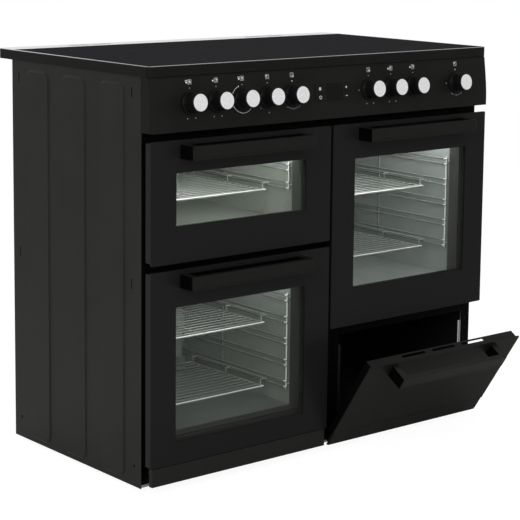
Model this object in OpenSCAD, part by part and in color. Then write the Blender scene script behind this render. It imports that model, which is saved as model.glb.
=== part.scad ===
// Free-standing electric range cooker: ceramic hob, grill oven over a main oven on the
// left, tall oven over a storage compartment on the right.
// +Z is up, the front faces -Y. The origin is on the floor, below the middle of the whole
// cooker as it stands with its flap open.
// Every "depth" is measured back from the front edge of the hob rim.

/* [Overall] */
// Width over the hob rim
rim_w = 1000; // [900:10:1100]
// Depth over the hob rim
rim_d = 585; // [575:5:620]
// Height of the worktop face above the floor
worktop_h = 910; // [900:5:930]
// Height of the levelling feet below the cabinet
foot_h = 10; // [6:1:40]

/* [Hob] */
// Height of the rim's skirt
rim_h = 22.5; // [18:0.5:30]
// Radius of the rim's upright corners
rim_corner_r = 12; // [4:1:20]
// Thickness of the rim's skirt
rim_wall = 3; // [2:0.5:4]
// Width of the metal edge left around the glass
rim_lip = 4; // [3:0.5:8]
// Width of the vented metal strip behind the glass
rear_strip = 60; // [50:1:70]
// Thickness of the glass-ceramic plate
hob_glass_t = 4; // [3:0.5:6]
// Distance of the outer heating zones' centres from the ends of the rim
zone_in = 160; // [150:1:200]
// Width of a cross rail that carries the heaters
rail_w = 30; // [20:1:40]
// Thickness of the rim's ledge under the glass
ledge_t = 2; // [1:0.5:3]
// Width of the rim's ledge under the glass
ledge_w = 16; // [10:1:24]
// Height of a radiant heater pan
heater_h = 30; // [20:1:36]

/* [Cabinet] */
// How far the side panels stand in from the rim's ends
panel_inset = 4; // [3:0.5:8]
// Thickness of the cabinet's sheet metal
sheet_t = 1.2; // [0.8:0.1:2]
// Depth of the side panels' front edges
panel_front = 30; // [26:1:36]
// How far the rim reaches back past the side panels
panel_rear_gap = 55; // [40:1:60]
// Height of the pressed fields in the side panels
emboss_h = 2.4; // [1:0.2:3]
// Width of a pressed field
emboss_w = 92; // [60:1:110]
// Width of the folded edges of the sheets
fold_w = 14; // [8:1:18]
// Thickness of the front frame
frame_t = 2; // [1.5:0.5:3]
// Wall thickness of the oven and storage liners
liner_t = 1.5; // [1:0.5:3]

/* [Control panel] */
// Depth of the control panel's top edge
fascia_top_d = 4.5; // [0:0.5:12]
// How far the bottom edge stands in front of the top edge
fascia_lean = 15; // [8:0.5:20]
// Height of the control panel
fascia_h = 115.5; // [110:0.5:120]
// Wall thickness of the control panel
fascia_t = 2.5; // [2:0.5:4]
// Radius of its upright corners
fascia_corner_r = 9; // [3:1:14]
// Height of the gap with the air outlet below the control panel
louvre_gap = 17; // [12:1:22]
// Spacing of the bridges between the air slots
louvre_pitch = 72; // [50:1:90]

/* [Knobs] */
// Distance of the innermost knobs from the centre line
knob_first_x = 114; // [100:1:120]
// Spacing of the knobs
knob_pitch = 70; // [55:1:72]
// Height of the knobs' axes on the face, above its bottom edge
knob_up = 58; // [40:1:70]
// Radius of the knob's skirt
knob_skirt_r = 24.5; // [20:0.5:27]
// Radius of the knob's grip
knob_grip_r = 20.7; // [16:0.1:22]
// Height of the knob above the face
knob_h = 35; // [26:1:40]
// Thickness of the metal end cap
knob_cap_t = 1.6; // [1:0.2:3]
// Radius of the spindle
spindle_r = 3; // [2:0.5:4]

/* [Timer] */
// Distance of the timer from the centre line
timer_x = 4; // [-10:1:10]
// Height of the timer's centre above the control panel's bottom edge
timer_up = 58; // [45:1:65]
// Width of the timer's window
window_w = 40; // [30:1:44]
// Width of a timer key
key_w = 28; // [18:1:32]
// Height of a timer key
key_h = 17; // [12:1:20]
// How far a key stands out, which is a little more than its travel
key_out = 1.4; // [1.2:0.1:2]

/* [Doors] */
// How far the doors stand in front of the rim
door_out = 5; // [2:0.5:8]
// Thickness of the door glasses
door_glass_t = 4; // [3:0.5:5]
// Depth of the door's metal frame behind the glass
door_frame_d = 21; // [16:1:22]
// How far the door frame stands in from the glass
door_inset = 4; // [3:0.5:8]
// Sheet thickness of the door frames
door_sheet = 1.5; // [1:0.5:2.5]
// Width of the left doors; the right door and the flap take up the rest
left_door_w = 495; // [440:1:520]
// Gap between the left doors and the right one
door_gap = 7; // [4:1:12]
// Height of the small grill oven's door
small_door_h = 260; // [240:1:280]
// Height of the tall oven's door
tall_door_h = 465; // [440:1:480]
// Gap between the two left doors
left_gap = 14; // [8:1:20]
// Gap between the tall oven's door and the flap
right_gap = 18; // [10:1:26]
// Height of the lowest door edge above the floor
door_bottom = 20; // [16:1:26]
// Height of the bottom strip of the main oven's door and of the flap
strip_h = 40; // [30:1:46]
// How far a window's sides stand in from the walls of its oven
window_side = 17.5; // [10:0.5:40]
// Distance of the grill oven's window from its door's bottom edge
small_window_low = 77; // [70:1:90]
// Distance of the grill oven's window from its door's top edge
small_window_high = 69; // [60:1:80]
// Distance of the main oven's window from the top of the door's strip
main_window_low = 49; // [40:1:70]
// Distance of the main oven's window from its door's top edge
main_window_high = 80; // [70:1:100]
// Distance of the tall oven's window from its door's bottom edge
tall_window_low = 86; // [70:1:100]
// Distance of the tall oven's window from its door's top edge
tall_window_high = 80; // [70:1:100]
// How far the opening in the door's frame reaches past the window's sides and top
inner_grow = 8; // [4:1:12]

/* [Handles] */
// Width of a handle
handle_w = 338; // [280:1:380]
// Height of a handle
handle_h = 29; // [22:1:36]
// How far a handle stands out from the glass
handle_out = 44; // [36:1:46]
// Thickness of the handle's bar
bar_t = 12; // [8:1:16]
// Width of the handle's end blocks
handle_end = 18; // [12:1:26]
// Distance from the door's top edge to the handle
handle_drop = 10; // [6:1:20]

/* [Hinges] */
// Depth of the oven doors' pivots
pivot_d = 12; // [10:0.5:13]
// Height of the pivots above the bottom edge of the door's window part
pivot_up = 12; // [10:1:14]
// Height of the main oven door's pivot above its bottom strip
main_pivot_up = 5; // [4:0.5:8]
// Radius of the hinge pins
pin_r = 4; // [3:0.5:5]
// Distance of a hinge from the side of its door
hinge_in = 30; // [22:1:60]
// Thickness of a hinge ear
ear_t = 4; // [3:0.5:6]

/* [Ovens] */
// Distance of the cavities from the cabinet's outer sides
oven_side = 47.5; // [44:0.5:70]
// Distance of the left cavities from their doors' inner edges
left_oven_mid = 54.5; // [50:0.5:70]
// Distance of the right cavity from its door's inner edge
right_oven_mid = 49.5; // [45:0.5:70]
// Depth of the cavities' rear walls
cavity_rear = 455; // [400:1:470]
// Height of the grill oven's floor above its door's bottom edge
small_floor_up = 45; // [40:1:60]
// Inside height of the grill oven
small_cavity_h = 195; // [170:1:200]
// Height of the main oven's floor above its door's strip
main_floor_up = 50; // [40:1:60]
// Distance of the main oven's ceiling from its door's top edge
main_ceiling_in = 46; // [36:1:80]
// Height of the tall oven's floor above its door's bottom edge
tall_floor_up = 62; // [50:1:80]
// Inside height of the tall oven
tall_cavity_h = 383; // [340:1:390]
// Distance of a fan's cover from the walls beside it
fan_cover_side = 51.5; // [40:0.5:70]
// Distance of a fan's cover from the main oven's floor and ceiling
fan_cover_rise = 47.5; // [40:0.5:70]

/* [Storage] */
// Distance of the compartment from the left edge of its flap
storage_mid = 56; // [30:1:80]
// Distance of the compartment from the cabinet's outer side
storage_side = 26; // [20:1:50]
// Height of the compartment's floor above the flap's bottom edge
storage_floor_up = 16; // [10:1:24]
// Distance of the compartment's ceiling from the flap's top edge
storage_top_in = 10; // [6:1:50]
// Angle at which the open flap rests
flap_angle = 33.4; // [10:0.1:60]
// Depth of the flap's pivot
flap_pivot_d = 5; // [4:0.5:8]
// Height of the flap's pivot above its bottom edge
flap_pivot_up = 9; // [8:0.5:12]

/* [Shelves] */
// Radius of the shelf wires
shelf_wire_r = 2.5; // [2:0.5:3]
// Radius of the rack wires
rack_wire_r = 2; // [1.5:0.5:2.5]
// Distance of the rack's upright wires from the cavity wall
rack_gap = 7; // [5:0.5:10]
// Space between the two wires of a rail
rail_gap = 13; // [12:0.5:16]
// Spacing of the rails in the main and tall ovens
rail_pitch = 50; // [40:1:60]
// Depth of the racks' front uprights
rack_front = 66; // [50:1:80]
// Depth of the shelves' front wires
shelf_front = 128; // [110:1:140]
// Length of a shelf from front to rear
shelf_len = 272; // [240:1:290]
// How far a shelf's grid hangs below its runners
shelf_drop = 14.5; // [12:0.5:20]
// Number of cross wires on a shelf
shelf_wires = 15; // [11:1:17]

/* [Hidden] */

$fn = 48;
tiny = 0.01;
gap = 0.3;
run_gap = 0.06;
// Gap at a seam between two sheets that are welded edge to edge
seam = 0.05;

// Heights
rim_bottom = worktop_h - rim_h;
panel_bottom = foot_h;
fascia_top = rim_bottom;
fascia_bottom = fascia_top - fascia_h;
door_top = fascia_bottom - louvre_gap;
small_door_z = door_top - small_door_h;
main_door_top = small_door_z - left_gap;
tall_door_z = door_top - tall_door_h;
flap_top = tall_door_z - right_gap;
main_line_z = door_bottom + strip_h;

// Widths
panel_x = rim_w / 2 - panel_inset;
inner_x = panel_x - sheet_t;
left_door_x = -panel_x;
right_door_x = left_door_x + left_door_w + door_gap;
right_door_w = panel_x - right_door_x;
left_oven_x = (left_door_x + oven_side + left_door_x + left_door_w - left_oven_mid) / 2;
right_oven_x = (right_door_x + right_oven_mid + panel_x - oven_side) / 2;

// Width of the cavity at x: left ovens have a negative x, the right one a positive x
function cavity_w(x) = x < 0 ? left_door_w - oven_side - left_oven_mid
                             : right_door_w - oven_side - right_oven_mid;

// Depths, all turned into Y by at_depth()
panel_rear = rim_d - panel_rear_gap;
door_face_d = -door_out;
frame_front_d = door_face_d + door_glass_t;
door_back_d = frame_front_d + door_frame_d;
rack_rear = cavity_rear - 9;

// Depth of the open flap's foremost corner, which is the top of its handle
flap_pivot_z = door_bottom + flap_pivot_up;
flap_reach = flap_pivot_d
    - (flap_pivot_d - door_face_d + handle_out) * cos(flap_angle)
    - (flap_top - handle_drop - flap_pivot_z) * sin(flap_angle);
mid_d = (rim_d + flap_reach) / 2;
function at_depth(d) = d - mid_d;

// The leaning face of the control panel
lean = atan(fascia_lean / fascia_h);
fascia_foot_d = fascia_top_d - fascia_lean;
function face_depth(up) = fascia_foot_d + up * sin(lean);
function face_height(up) = fascia_bottom + up * cos(lean);

// Ovens: each list is [floor height, inside height]
small_floor = small_door_z + small_floor_up;
main_floor = main_line_z + main_floor_up;
tall_floor = tall_door_z + tall_floor_up;
main_cavity_h = main_door_top - main_ceiling_in - main_floor;
small_oven = [small_floor, small_cavity_h];
main_oven = [main_floor, main_cavity_h];
tall_oven = [tall_floor, tall_cavity_h];

// Storage compartment
storage_left = right_door_x + storage_mid;
storage_right = panel_x - storage_side;
storage_floor = door_bottom + storage_floor_up;
storage_top = flap_top - storage_top_in;
upright_r = rack_wire_r + 0.5;
rail_in = rack_gap + upright_r + rack_wire_r - 0.5;
runner_in = rack_gap + upright_r + shelf_wire_r + gap;

// ------------------------------------------------------------------ helpers

// Rounded rectangle with its centre at the origin
module rounded(w, h, r) {
    square([w - 2 * r, h], center = true);
    square([w, h - 2 * r], center = true);
    for (sx = [-1, 1], sy = [-1, 1])
        translate([sx * (w / 2 - r), sy * (h / 2 - r)]) circle(r);
}

// A plate facing the front: the outline is drawn in X and Z
module facing(d, t) {
    translate([0, at_depth(d) + t, 0])
        rotate([90, 0, 0])
            linear_extrude(t)
                children();
}

// A plate facing the side: the outline is drawn in depth and Z
module sideways(x, t) {
    translate([x, at_depth(0), 0])
        rotate([90, 0, 90])
            linear_extrude(t)
                children();
}

// A box given by its corners: [x0, x1], [depth0, depth1], [z0, z1]
module block(xs, ds, zs) {
    translate([xs[0], at_depth(ds[0]), zs[0]])
        cube([xs[1] - xs[0], ds[1] - ds[0], zs[1] - zs[0]]);
}

// A round wire from point a to point b
module wire(a, b, r) {
    v = b - a;
    len = norm(v);
    translate(a)
        rotate([0, acos(v[2] / len), atan2(v[1], v[0])])
            cylinder(h = len, r = r);
}

// Places what follows on the control panel's face: +Z leads out of the face
module on_face(x, up) {
    translate([x, at_depth(face_depth(up)), face_height(up)])
        rotate([90 - lean, 0, 0])
            children();
}

// Opens the flap about its pivot
module opened() {
    pivot = [0, at_depth(flap_pivot_d), door_bottom + flap_pivot_up];
    translate(pivot)
        rotate([flap_angle, 0, 0])
            translate(-pivot)
                children();
}

// ------------------------------------------------------------------ cabinet

emboss_d = [134.5, 279.5, 423.5];
emboss_r = 20;
emboss_slope = 4;
emboss_end = 10;

// One pressed field, pushed out along -X from the plane at x
module pressed_field(d, x, shrink) {
    z0 = panel_bottom + emboss_end;
    z1 = rim_bottom - emboss_end - 8;
    hull() {
        sideways(x, tiny)
            translate([d, (z0 + z1) / 2])
                rounded(emboss_w - 2 * shrink, z1 - z0 - 2 * shrink, emboss_r);
        sideways(x - emboss_h, tiny)
            translate([d, (z0 + z1) / 2])
                rounded(emboss_w - 2 * (shrink + emboss_slope),
                        z1 - z0 - 2 * (shrink + emboss_slope), emboss_r - emboss_slope);
    }
}

// Depth and height of the slots and screw holes near a side panel's edges
hook_slots = [[64, 0.96], [panel_rear - 28, 0.955], [64, 0.5], [panel_rear - 28, 0.5]];
screw_rise = [55, 58];

// The left side panel; the right one is its mirror image
module side_panel() {
    panel_h = rim_bottom - panel_bottom;
    // Edge strips behind the front frame and in front of the back panel
    block([-inner_x + seam, -inner_x + fold_w],
          [panel_front + frame_t + seam, panel_front + frame_t + sheet_t],
          [main_pivot_z + 2, rim_bottom]);
    block([-inner_x + seam, -inner_x + fold_w],
          [panel_rear - 2 * sheet_t, panel_rear - sheet_t - seam],
          [panel_bottom, rim_bottom]);
    difference() {
        union() {
            sideways(-panel_x, sheet_t)
                translate([panel_front, panel_bottom])
                    square([panel_rear - panel_front, panel_h]);
            for (d = emboss_d) pressed_field(d, -panel_x, 0);
        }
        for (d = emboss_d) pressed_field(d, -inner_x + tiny, sheet_t / 2);
        for (p = hook_slots)
            sideways(-panel_x - 1, sheet_t + 2)
                translate([p[0], panel_bottom + p[1] * panel_h])
                    rounded(3, 22, 1.4);
        for (i = [0, 1])
            sideways(-panel_x - 1, sheet_t + 2)
                translate([[panel_front + 25, panel_rear - 29][i], screw_rise[i] + foot_h - 10])
                    circle(3);
    }
}

module side_panel_left() {
    color([0.17, 0.17, 0.16]) side_panel();
}

module side_panel_right() {
    color([0.17, 0.17, 0.16]) mirror([1, 0, 0]) side_panel();
}

cover_w = 110;
cover_h = 90;
cover_d = 28;
cover_z = 150;
cover_x = -330;
gland_r = 9;
cover_t = 2.5;
// Distance of the lowest row of air slots from the top of the back panel
back_slots_down = 327.5;

module back_panel() {
    color([0.45, 0.46, 0.47])
        difference() {
            facing(panel_rear - sheet_t, sheet_t)
                translate([-inner_x, panel_bottom + sheet_t])
                    square([2 * inner_x, rim_bottom - panel_bottom - sheet_t]);
            // Air slots behind the ovens
            for (x = [left_oven_x, right_oven_x], col = [-3 : 3], row = [0 : 5])
                facing(panel_rear - 3, 6)
                    translate([x + col * 44, rim_bottom - back_slots_down + row * 22])
                        rounded(30, 6, 2.9);
            // Opening to the mains terminals
            facing(panel_rear - 3, 6)
                translate([cover_x, cover_z])
                    square([cover_w - 40, cover_h - 40], center = true);
        }
}

foot_r = 20;
foot_stem_r = 4;
foot_in = 55;
foot_d = [panel_front + 50, panel_rear - 45];

module base_panel() {
    front = panel_front + 6;
    color([0.4, 0.41, 0.42])
        difference() {
            union() {
                block([-inner_x, inner_x], [front, panel_rear - 2 * sheet_t],
                      [panel_bottom, panel_bottom + sheet_t]);
                // Low front lip and stiffening ribs
                block([-inner_x, inner_x], [front, front + sheet_t],
                      [panel_bottom, panel_bottom + 6]);
                for (i = [1 : 4])
                    block([-inner_x + 80, inner_x - 80],
                          [front + i * 95, front + i * 95 + 10],
                          [panel_bottom + sheet_t - tiny, panel_bottom + 4]);
            }
            for (sx = [-1, 1], d = foot_d)
                translate([sx * (panel_x - foot_in), at_depth(d), panel_bottom - 1])
                    cylinder(h = 10, r = foot_stem_r + 0.3);
            for (sx = [-1, 1])
                block([sx * (panel_x - 12) - 13, sx * (panel_x - 12) + 13],
                      [panel_rear - 5, panel_rear], [panel_bottom - 1, panel_bottom + 9]);
        }
}

module levelling_feet() {
    color([0.1, 0.1, 0.1])
        for (sx = [-1, 1], d = foot_d)
            translate([sx * (panel_x - foot_in), at_depth(d), 0]) {
                cylinder(h = foot_h - 3, r = foot_r);
                translate([0, 0, foot_h - 3]) cylinder(h = 3, r = 11, $fn = 6);
                translate([0, 0, foot_h]) cylinder(h = 18, r = foot_stem_r);
            }
}

// The cover is folded from sheet; its underside is a plate of its own with the cable entry
module terminal_cover() {
    x0 = cover_x - cover_w / 2;
    x1 = cover_x + cover_w / 2;
    z0 = cover_z - cover_h / 2;
    z1 = cover_z + cover_h / 2;
    rear = panel_rear + cover_d;
    color([0.12, 0.12, 0.12]) {
        difference() {
            block([x0, x1], [panel_rear, rear], [z0, z0 + cover_t]);
            translate([cover_x, at_depth(panel_rear + cover_d / 2), z0 - 1])
                cylinder(h = cover_t + 2, r = gland_r);
        }
        block([x0, x1], [panel_rear, rear], [z1 - cover_t, z1]);
        block([x0, x1], [rear - cover_t, rear], [z0 + cover_t + seam, z1 - cover_t - seam]);
        for (x = [x0, x1 - cover_t])
            block([x, x + cover_t], [panel_rear, rear - cover_t - seam],
                  [z0 + cover_t + seam, z1 - cover_t - seam]);
    }
}

// Four straight strips round the mouth of an oven: they lie between grow_in and grow_out
// outside the cavity's walls
module round_mouth(x, oven, grow_in, grow_out, d, t) {
    half = cavity_w(x) / 2;
    z0 = oven[0];
    z1 = oven[0] + oven[1];
    for (s = [-1, 1]) {
        a = x + s * (half + grow_in);
        b = x + s * (half + grow_out);
        block([min(a, b), max(a, b)], [d, d + t], [z0 - grow_out, z1 + grow_out]);
    }
    across = [x - half - grow_in + seam, x + half + grow_in - seam];
    block(across, [d, d + t], [z0 - grow_out, z0 - grow_in]);
    block(across, [d, d + t], [z1 + grow_in, z1 + grow_out]);
}

// Hinge ears of one door, which reach forward from the frame
module hinge_ears(x, w, z) {
    for (s = [-1, 1]) {
        ear_x = x + s * (w / 2 - hinge_in);
        difference() {
            union() {
                translate([ear_x - ear_t / 2, at_depth(pivot_d), z])
                    rotate([0, 90, 0]) cylinder(h = ear_t, r = pin_r + 4);
                block([ear_x - ear_t / 2, ear_x + ear_t / 2],
                      [pivot_d, panel_front - seam], [z - 3, z + pin_r + 4]);
            }
            translate([ear_x - ear_t, at_depth(pivot_d), z])
                rotate([0, 90, 0]) cylinder(h = 2 * ear_t, r = pin_r + run_gap);
        }
    }
}

left_cx = left_door_x + left_door_w / 2;
right_cx = right_door_x + right_door_w / 2;
small_pivot_z = small_door_z + pivot_up;
main_pivot_z = main_line_z + main_pivot_up;
tall_pivot_z = tall_door_z + pivot_up;
frame_top = fascia_bottom - 4;
frame_low = main_pivot_z + 2;
frame_foot = panel_bottom + 8;

// One flat strip of the front frame
module frame_strip(xs, zs) {
    block([xs[0] + seam / 2, xs[1] - seam / 2], [panel_front, panel_front + frame_t],
          [zs[0] + seam / 2, zs[1] - seam / 2]);
}

// Posts and rails, welded edge to edge, with the ears that carry the doors
module front_frame() {
    left_in = left_oven_x - cavity_w(left_oven_x) / 2;
    left_mid = left_oven_x + cavity_w(left_oven_x) / 2;
    right_mid = right_oven_x - cavity_w(right_oven_x) / 2;
    right_in = right_oven_x + cavity_w(right_oven_x) / 2;
    small_top = small_floor + small_cavity_h;
    main_top = main_floor + main_cavity_h;
    tall_top = tall_floor + tall_cavity_h;
    step_x = right_door_x + 2;
    color([0.1, 0.1, 0.1]) {
        // Left post, the rails of the two left ovens, and the post between the columns
        frame_strip([-inner_x, left_in], [frame_low, frame_top]);
        frame_strip([left_in, left_mid], [frame_low, main_floor]);
        frame_strip([left_in, left_mid], [main_top, small_floor]);
        frame_strip([left_in, left_mid], [small_top, frame_top]);
        frame_strip([left_mid, right_mid], [storage_top, frame_top]);
        frame_strip([left_mid, step_x], [frame_low, storage_top]);
        // Right post and the rails of the tall oven and the storage compartment
        frame_strip([right_in, inner_x], [storage_top, frame_top]);
        frame_strip([right_mid, right_in], [tall_top, frame_top]);
        frame_strip([right_mid, right_in], [storage_top, tall_floor]);
        frame_strip([storage_left, storage_right], [frame_foot, storage_floor]);
        // Posts of the storage opening, with punched holes
        for (post = [[step_x, storage_left], [storage_right, inner_x]])
            difference() {
                frame_strip(post, [frame_foot, storage_top]);
                for (i = [0 : floor((storage_top - storage_floor - 28) / 24)])
                    facing(panel_front - 1, frame_t + 2)
                        translate([post[0] > storage_left ? (post[0] + post[1]) / 2
                                                          : post[1] - 14,
                                   storage_floor + 14 + i * 24])
                            circle(3.5);
            }
        hinge_ears(left_cx, left_door_w, small_pivot_z);
        hinge_ears(left_cx, left_door_w, main_pivot_z);
        hinge_ears(right_cx, right_door_w, tall_pivot_z);
        flap_ears();
    }
}

// Ears for the flap's pins, on the front frame's lower rail
module flap_ears() {
    for (s = [-1, 1]) {
        ear_x = right_cx + s * (right_door_w / 2 - hinge_in);
        difference() {
            union() {
                translate([ear_x - ear_t / 2, at_depth(flap_pivot_d), flap_pivot_z])
                    rotate([0, 90, 0]) cylinder(h = ear_t, r = pin_r + 2.2);
                block([ear_x - ear_t / 2, ear_x + ear_t / 2],
                      [flap_pivot_d, panel_front - seam],
                      [flap_pivot_z - pin_r - 2, flap_pivot_z + pin_r + 2]);
            }
            translate([ear_x - ear_t, at_depth(flap_pivot_d), flap_pivot_z])
                rotate([0, 90, 0]) cylinder(h = 2 * ear_t, r = pin_r + run_gap);
        }
    }
}

// ------------------------------------------------------------------ hob

glass_w = rim_w - 2 * rim_lip;
glass_d = rim_d - rim_lip - rear_strip;
deck_t = hob_glass_t + ledge_t;

// Air slots in the strip behind the glass: two groups of two halves
vent_in = 235;
vent_group_x = [-rim_w / 2 + vent_in, rim_w / 2 - vent_in];
vent_w = 4;
vent_len = 26;
vent_count = 7;

// Depths of the front, middle and rear heating zones, and [x, depth, radius] of each
zone_d = [165, 285, 395];
zone_x = rim_w / 2 - zone_in;
zones = [
    [-zone_x, zone_d[0], 90], [-zone_x, zone_d[2], 72.5], [0, zone_d[1], 115],
    [zone_x, zone_d[0], 72.5], [zone_x, zone_d[2], 90]
];

// Cross rails that carry the heaters, hung from the ledge
module heater_rails() {
    low = worktop_h - hob_glass_t - heater_h - gap;
    hang = glass_w / 2 - ledge_w + 4;
    for (middle = zone_d) {
        ds = [middle - rail_w / 2, middle + rail_w / 2];
        block([-hang - 1, hang + 1], ds, [low - sheet_t, low]);
        for (s = [-1, 1])
            block([s * hang - 1, s * hang + 1], ds,
                  [low - sheet_t, worktop_h - deck_t - seam]);
    }
}

module hob_rim() {
    color([0.14, 0.14, 0.13]) {
        heater_rails();
        difference() {
            translate([0, at_depth(rim_d / 2), rim_bottom])
                linear_extrude(rim_h) rounded(rim_w, rim_d, rim_corner_r);
            // Hollow underside
            translate([0, at_depth(rim_d / 2), rim_bottom - 1])
                linear_extrude(rim_h - deck_t + 1)
                    rounded(rim_w - 2 * rim_wall - 12, rim_d - 2 * rim_wall, rim_corner_r);
            // Seat of the glass, and the opening below it
            translate([-glass_w / 2, at_depth(rim_lip), worktop_h - hob_glass_t])
                cube([glass_w, glass_d, hob_glass_t + 1]);
            translate([-glass_w / 2 + ledge_w, at_depth(rim_lip + ledge_w), rim_bottom])
                cube([glass_w - 2 * ledge_w, glass_d - 2 * ledge_w, rim_h]);
            for (gx = vent_group_x, half = [-1, 1], i = [0 : vent_count - 1])
                translate([gx + half * (8 + i * 2 * vent_w),
                           at_depth(rim_d - rear_strip / 2), worktop_h - deck_t - 1])
                    linear_extrude(deck_t + 2)
                        rounded(vent_w, vent_len, 1.9);
        }
    }
}

module hob_glass() {
    color([0.05, 0.05, 0.06])
        translate([-glass_w / 2 + 0.1, at_depth(rim_lip + 0.1), worktop_h - hob_glass_t])
            cube([glass_w - 0.2, glass_d - 0.2, hob_glass_t - 0.2]);
}

module radiant_heaters() {
    top = worktop_h - hob_glass_t;
    color([0.75, 0.74, 0.7])
        for (zone = zones)
            translate([zone[0], at_depth(zone[1]), top - heater_h])
                rotate_extrude()
                    union() {
                        square([zone[2], heater_h - 14]);
                        // Insulating wall that presses against the glass
                        translate([zone[2] - 12, 0]) square([12, heater_h]);
                        // Rings of heating ribbon
                        for (r = [18 : 16 : zone[2] - 22])
                            translate([r, heater_h - 14 - tiny]) square([1.2, 6]);
                    }
}

// ------------------------------------------------------------------ control panel

// Side view of the panel, drawn in depth and height, taken in by t all round
module fascia_profile(t, back) {
    slope = fascia_lean / fascia_h;
    polygon([
        [fascia_foot_d + t, fascia_bottom + t],
        [back, fascia_bottom + t],
        [back, fascia_top - t],
        [8 + t, fascia_top - t],
        [8 + t, fascia_top - 1.2 - t],
        [fascia_top_d + t - slope * 1.2, fascia_top - 1.2 - t]
    ]);
}

knob_x = [for (i = [4 : -1 : 0]) -knob_first_x - i * knob_pitch,
          for (i = [0, 1, 2, 4]) knob_first_x + i * knob_pitch];

key_gap = 5;
key_x = window_w / 2 + key_gap + key_w / 2;
key_up = key_h / 2 + 1;
key_clear = 0.3;

module fascia() {
    half = panel_x + 2;
    wall = fascia_t;
    color([0.13, 0.13, 0.12])
        difference() {
            intersection() {
                sideways(-half, 2 * half) fascia_profile(0, panel_front - gap);
                translate([0, at_depth(60), fascia_bottom - 5])
                    linear_extrude(fascia_h + 10)
                        rounded(2 * half, 2 * (60 - fascia_foot_d), fascia_corner_r);
            }
            sideways(-half + wall, 2 * (half - wall))
                fascia_profile(wall, panel_front + 5);
            for (x = knob_x)
                on_face(x, knob_up)
                    translate([0, 0, -2 * wall]) cylinder(h = 3 * wall, r = spindle_r + 2);
            on_face(timer_x, timer_up)
                translate([0, 0, -3 * wall])
                    linear_extrude(5 * wall) {
                        square([window_w + 0.2, 2 * key_h + 6.2], center = true);
                        for (sx = [-1, 1], sy = [-1, 1])
                            translate([sx * key_x, sy * key_up])
                                square([key_w + 2 * key_clear, key_h + 2 * key_clear],
                                       center = true);
                    }
        }
}

// The recessed outlet strip below the control panel
module air_outlet() {
    d = panel_front - 6;
    count = floor(panel_x / louvre_pitch);
    slot_h = 8;
    mid = fascia_bottom - louvre_gap / 2 - 1;
    color([0.05, 0.05, 0.05]) {
        difference() {
            facing(d, sheet_t)
                translate([-panel_x + 12, fascia_bottom - louvre_gap - 6])
                    square([2 * panel_x - 24, louvre_gap + 6]);
            for (i = [-count : count - 1])
                facing(d - 1, sheet_t + 2)
                    translate([(i + 0.5) * louvre_pitch, mid])
                        rounded(louvre_pitch - 8, slot_h, slot_h / 2 - 0.1);
        }
        // Fold back to the front frame
        block([-panel_x + 12, panel_x - 12], [d, panel_front],
              [fascia_bottom - louvre_gap - 6, fascia_bottom - louvre_gap - 6 + sheet_t]);
    }
}

// Timer housing behind the control panel, with its window in the opening
module timer_unit() {
    color([0.02, 0.02, 0.03])
        on_face(timer_x, timer_up) {
            translate([0, 0, -fascia_t - 10])
                linear_extrude(fascia_t + 10)
                    square([window_w, 2 * key_h + 6], center = true);
            translate([0, 0, -fascia_t - 20])
                linear_extrude(10)
                    square([window_w + 2 * key_w + 20, 2 * key_h + 8], center = true);
        }
}

module switch_bodies() {
    color([0.8, 0.78, 0.7])
        for (x = knob_x)
            on_face(x, knob_up)
                difference() {
                    union() {
                        translate([0, 0, -fascia_t - 24])
                            linear_extrude(24 - 0.2) rounded(42, 38, 4);
                    }
                    translate([0, 0, -fascia_t - 18])
                        cylinder(h = 30, r = spindle_r + run_gap);
                }
}

// ------------------------------------------------------------------ knobs and keys

// A knob: turned grip, metal end cap and steel spindle, all turning together
module knob(index) {
    top = knob_h - knob_cap_t;
    skirt_h = 3;
    on_face(knob_x[index], knob_up) {
        color([0.06, 0.06, 0.06])
            rotate_extrude()
                polygon([
                    [spindle_r + tiny, 0.8], [knob_skirt_r - 1, 0.8],
                    [knob_skirt_r, 1.6], [knob_skirt_r - 0.4, skirt_h],
                    [knob_grip_r + 0.4, skirt_h + 1.6], [knob_grip_r - 1.6, skirt_h + 5],
                    [knob_grip_r - 1.8, knob_h * 0.4], [knob_grip_r - 0.6, knob_h * 0.62],
                    [knob_grip_r, knob_h * 0.72], [knob_grip_r, top + 0.4],
                    [knob_grip_r - 0.5, top + 0.9], [knob_grip_r - 1, top + 0.9],
                    [knob_grip_r - 1, top], [0, top],
                    [0, top - 12], [spindle_r + tiny, top - 12]
                ]);
        color([0.85, 0.85, 0.86])
            translate([0, 0, top + 0.05])
                rotate_extrude()
                    polygon([
                        [0, 0], [knob_grip_r - 1.05, 0], [knob_grip_r - 1.05, knob_cap_t - 0.4],
                        [knob_grip_r - 1.5, knob_cap_t], [0, knob_cap_t]
                    ]);
        color([0.7, 0.7, 0.7])
            translate([0, 0, -fascia_t - 16])
                cylinder(h = fascia_t + 16 + top - 13, r = spindle_r);
    }
}

module knob_1() { knob(0); }
module knob_2() { knob(1); }
module knob_3() { knob(2); }
module knob_4() { knob(3); }
module knob_5() { knob(4); }
module knob_6() { knob(5); }
module knob_7() { knob(6); }
module knob_8() { knob(7); }
module knob_9() { knob(8); }

// A push key; its stem ends just above the switch in the timer housing
module key(side, row) {
    color([0.13, 0.13, 0.12])
        on_face(timer_x + side * key_x, timer_up + row * key_up) {
            translate([0, 0, -fascia_t - 3])
                linear_extrude(fascia_t + 3 + key_out)
                    rounded(key_w, key_h, 1.5);
            translate([0, 0, -fascia_t - 9.8 + key_out]) cylinder(h = 9, r = 2.5);
        }
}

module key_mode() { key(-1, 1); }
module key_clock() { key(-1, -1); }
module key_plus() { key(1, 1); }
module key_minus() { key(1, -1); }

// ------------------------------------------------------------------ ovens

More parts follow.
